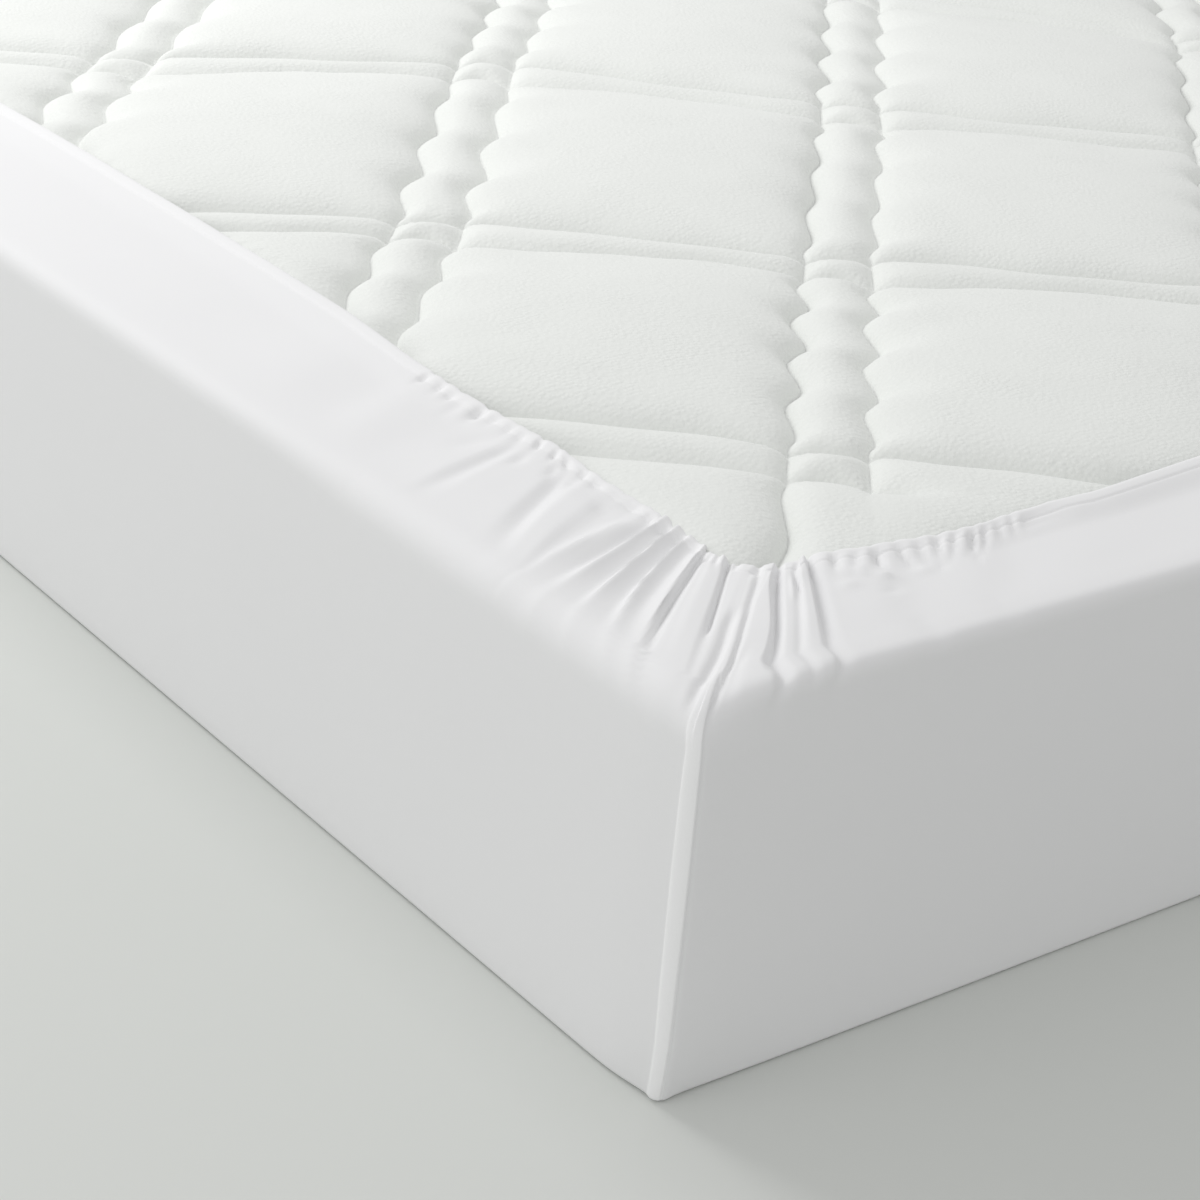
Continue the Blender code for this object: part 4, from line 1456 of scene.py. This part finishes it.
def weave_group() -> None:
    """Plain weave: the height of threads that pass over and under each other."""
    group = new_group("plain_weave", {"Threads per metre": 2400.0}, ("Height",))
    sketch = NodeSketch(group)
    source = group.nodes["in"].outputs
    split = sketch.add("ShaderNodeSeparateXYZ", {0: source["Vector"]})
    turns = sketch.math("MULTIPLY", source["Threads per metre"], math.pi)
    warp, weft = (sketch.math("SINE", sketch.math("MULTIPLY", split.outputs[axis], turns))
                  for axis in (0, 1))
    over = sketch.math("MULTIPLY", warp, weft)
    both = sketch.math("ADD", sketch.math("ABSOLUTE", warp), sketch.math("ABSOLUTE", weft))
    height = sketch.math("ADD", sketch.math("MULTIPLY", both, 0.35), sketch.math("MULTIPLY", over, 0.3))
    sketch.feed(group.nodes["out"].inputs["Height"], height)


def mottle_group() -> None:
    """Soft unevenness, 0 to 1, for colour."""
    group = new_group("soft_mottle", {"Scale": 8.0, "Detail": 4.0}, ("Value",))
    sketch = NodeSketch(group)
    source = group.nodes["in"].outputs
    inputs = {label: source[label] for label in ("Vector", "Scale", "Detail")}
    cloud = sketch.add("ShaderNodeTexNoise", inputs)
    sketch.feed(group.nodes["out"].inputs["Value"], cloud.outputs["Fac"])


def pebble_group() -> None:
    """Padded knit: the height of its small raised grains, and a mask of the hollows between them for
    painted shade.
    """
    group = new_group("pebbled_knit", {"Grains per metre": 330.0}, ("Height", "Hollow"))
    sketch = NodeSketch(group)
    source, result = group.nodes["in"].outputs, group.nodes["out"].inputs
    grains = sketch.add("ShaderNodeTexVoronoi", {
        "Smoothness": 0.6, "Randomness": 0.7, "Vector": source["Vector"],
        "Scale": source["Grains per metre"]}, feature="SMOOTH_F1")
    patches, fine = (sketch.add("ShaderNodeTexNoise", {
        "Vector": source["Vector"], "Scale": scale, "Detail": detail}).outputs["Fac"]
        for scale, detail in ((26.0, 3.0), (900.0, 2.0)))
    dome = sketch.math("SUBTRACT", 1.0, grains.outputs["Distance"])
    strength = sketch.math("MULTIPLY", patches, 1.4)
    height = sketch.math("ADD", sketch.math("MULTIPLY", dome, strength),
                         sketch.math("MULTIPLY", fine, 0.25))
    sketch.feed(result["Height"], height)
    # mask of the hollows between the grains, for painted shade
    sketch.feed(result["Hollow"], sketch.math("MULTIPLY", grains.outputs["Distance"], strength))


@dataclass(frozen=True)
class ClothFinish:
    """What every soft finish here shares: a colour that wanders a little, and its gloss."""

    name: str
    pale: tuple[float, float, float]
    deep: tuple[float, float, float]
    roughness: float
    sheen: float
    mottle: float                   # scale of the colour's wandering

    def start(self) -> tuple[bpy.types.Material, NodeSketch, Feed, Feed]:
        """Make the material and set the constants on its shader.

        Returns:
            The material, a sketch of its nodes, the place in the object and the mottled colour.
        """
        material = bpy.data.materials.new(self.name)
        material.use_nodes = True
        sketch = NodeSketch(material.node_tree)
        shader = material.node_tree.nodes["Principled BSDF"]
        for label, value in (("Roughness", self.roughness), ("Sheen Weight", self.sheen),
                             ("Sheen Roughness", 0.5), ("Specular IOR Level", 0.25)):
            shader.inputs[label].default_value = value
        place = sketch.add("ShaderNodeTexCoord").outputs["Object"]
        cloud = sketch.use("soft_mottle", Vector=place, Scale=self.mottle)
        colour = sketch.mix((*self.deep, 1), (*self.pale, 1), cloud.outputs["Value"])
        return material, sketch, place, colour

    @staticmethod
    def end(material: bpy.types.Material, colour: Feed, **relief: Feed) -> bpy.types.Material:
        """Join a colour, and a relief where the bump's inputs are given, to the shader.

        Returns:
            The same material.
        """
        sketch = NodeSketch(material.node_tree)
        shader = material.node_tree.nodes["Principled BSDF"].inputs
        sketch.feed(shader["Base Color"], colour)
        if relief:
            bump = sketch.add("ShaderNodeBump", relief)
            sketch.feed(shader["Normal"], bump.outputs["Normal"])
        return material


@dataclass(frozen=True)
class CottonFinish(ClothFinish):
    """Smooth white cotton in a fine plain weave, paler where it is sewn double; on the seams the paler
    colour is partly painted light.
    """

    # paler colour where the cloth is doubled; on the corner seams it is partly painted light, standing
    # in for the light that the seam strip catches
    doubled_and_painted_light_pale: tuple[float, float, float] = (0.95, 0.95, 0.955)
    weave_depth: float = 0.00006

    def material(self) -> bpy.types.Material:
        """Make the cotton."""
        material, sketch, _, colour = self.start()
        # the paler colour goes over the doubled hem, and over the seams as doubled cloth and painted
        # light
        doubled_and_painted_light = sketch.add("ShaderNodeAttribute", attribute_name="doubled_and_painted_light")
        paler = sketch.mix(colour, (*self.doubled_and_painted_light_pale, 1), doubled_and_painted_light.outputs["Fac"])
        flat = sketch.add("ShaderNodeUVMap", uv_map="cloth")
        weave = sketch.use("plain_weave", Vector=flat.outputs["UV"])
        return self.end(material, paler, Strength=0.35, Distance=self.weave_depth,
                        Height=weave.outputs["Height"])


@dataclass(frozen=True)
class KnitFinish(ClothFinish):
    """Padded off-white knit with small raised grains, and painted shade in the hollows between them."""

    grain_depth: float = 0.0009
    # how dark the painted shade in the hollows between the grains is, as a share of the deep colour
    painted_hollow_shade: float = 0.93

    def material(self) -> bpy.types.Material:
        """Make the knit."""
        material, sketch, place, colour = self.start()
        knit = sketch.use("pebbled_knit", Vector=place)
        # painted shade: the colour darkens in the hollows between the grains
        hollow = sketch.math("MULTIPLY", knit.outputs["Hollow"], 0.5)
        dark = tuple(self.painted_hollow_shade * value for value in self.deep) + (1,)
        return self.end(material, sketch.mix(colour, dark, hollow), Strength=0.6,
                        Distance=self.grain_depth, Height=knit.outputs["Height"])


@dataclass(frozen=True)
class FloorFinish(ClothFinish):
    """Plain pale floor."""

    def material(self) -> bpy.types.Material:
        """Make the floor."""
        material, _, _, colour = self.start()
        return self.end(material, colour)


COTTON = CottonFinish("sheet_cotton_weave", pale=(0.875, 0.875, 0.88), deep=(0.855, 0.855, 0.862),
                      roughness=0.85, sheen=0.12, mottle=5.0)
KNIT = KnitFinish("mattress_padded_knit", pale=(0.875, 0.89, 0.865), deep=(0.845, 0.862, 0.835),
                  roughness=0.95, sheen=0.20, mottle=11.0)
FLOOR = FloorFinish("plain_floor", pale=(0.69, 0.705, 0.68), deep=(0.66, 0.675, 0.65),
                    roughness=0.75, sheen=0.0, mottle=1.4)


# ------------------------------------------------------------------------------- studio
@dataclass
class Studio:
    """Plain floor, soft lights and the camera at the photograph's angle."""

    yaw: float = 51.25              # degrees, from +X
    pitch: float = 25.27            # degrees, down
    roll: float = 4.93
    position: tuple[float, float, float] = (-1.6724, -1.5705, 0.7272)
    focal_pixels: float = 2772.0
    frame_pixels: float = 1200.0
    sensor: float = 36.0            # mm
    floor_half: float = 6.0
    world_strength: float = 0.635

    def camera(self) -> None:
        """Make the camera."""
        yaw, pitch, roll = (math.radians(x) for x in (self.yaw, self.pitch, self.roll))
        level = math.cos(pitch)
        ahead = Vector((level * math.cos(yaw), level * math.sin(yaw), -math.sin(pitch)))
        right = ahead.cross(Vector((0, 0, 1))).normalized()
        above = right.cross(ahead)
        rolled_right = math.cos(roll) * right + math.sin(roll) * above
        rolled_above = -math.sin(roll) * right + math.cos(roll) * above
        data = bpy.data.cameras.new("photo_camera")
        data.sensor_width = self.sensor
        data.lens = self.focal_pixels * self.sensor / self.frame_pixels
        data.clip_end = 60.0
        camera = bpy.data.objects.new("photo_camera", data)
        matrix = Matrix((rolled_right, rolled_above, -ahead)).transposed().to_4x4()
        matrix.translation = Vector(self.position)
        camera.matrix_world = matrix
        bpy.context.scene.collection.objects.link(camera)
        bpy.context.scene.camera = camera

    def floor(self) -> None:
        """Make the floor that the part lies on."""
        bpy.ops.mesh.primitive_grid_add(x_subdivisions=8, y_subdivisions=8, size=2 * self.floor_half)
        floor = bpy.context.object
        floor.name = Piece.FLOOR.value
        floor.data.materials.append(FLOOR.material())

    def light(self, name: str, place: tuple[float, float, float], target: tuple[float, float, float],
              size: float, power: float) -> None:
        """Add one soft square light that looks at a point.

        Args:
            name: Name of the light.
            place: Where it stands.
            target: What it looks at.
            size: Length of its side.
            power: Its power in watts.
        """
        data = bpy.data.lights.new(name, "AREA")
        data.shape = "SQUARE"
        data.size = size
        data.energy = power
        lamp = bpy.data.objects.new(name, data)
        lamp.location = place
        lamp.rotation_euler = (Vector(target) - Vector(place)).to_track_quat("-Z", "Y").to_euler()
        bpy.context.scene.collection.objects.link(lamp)

    def world(self) -> None:
        """Make the pale even surroundings."""
        world = bpy.data.worlds.new("soft_surroundings")
        world.use_nodes = True
        back = world.node_tree.nodes["Background"]
        back.inputs["Color"].default_value = (1.0, 1.0, 1.0, 1.0)
        back.inputs["Strength"].default_value = self.world_strength
        bpy.context.scene.world = world

    def build(self) -> None:
        """Make everything round the part."""
        self.camera()
        self.floor()
        self.world()
        self.light("window", (-1.15, 1.45, 1.60), (-0.7, -0.2, 0.1), 1.2, 25.0)
        self.light("left_fill", (-2.6, -0.7, 1.2), (-1.0, -0.4, 0.1), 1.5, 4.8)
        bpy.context.scene.view_settings.view_transform = "Standard"


# --------------------------------------------------------------------------------- main
def main() -> None:
    """Build the studio and every piece, and report each one."""
    logging.basicConfig(level=logging.INFO, format="%(name)s: %(message)s")
    for make in (weave_group, mottle_group, pebble_group):
        make()
    Studio().build()
    sheet = FittedSheet()
    mattress = Mattress()
    padded = mattress.build(sheet.hem_line, KNIT.material())
    cloth = sheet.build(COTTON.material())
    sheet.declare(cloth)
    for piece in (padded, cloth):
        mesh = piece.data
        LOG.info("%s: %d points, %d faces", piece.name, len(mesh.vertices), len(mesh.polygons))


if __name__ == "__main__":
    main()
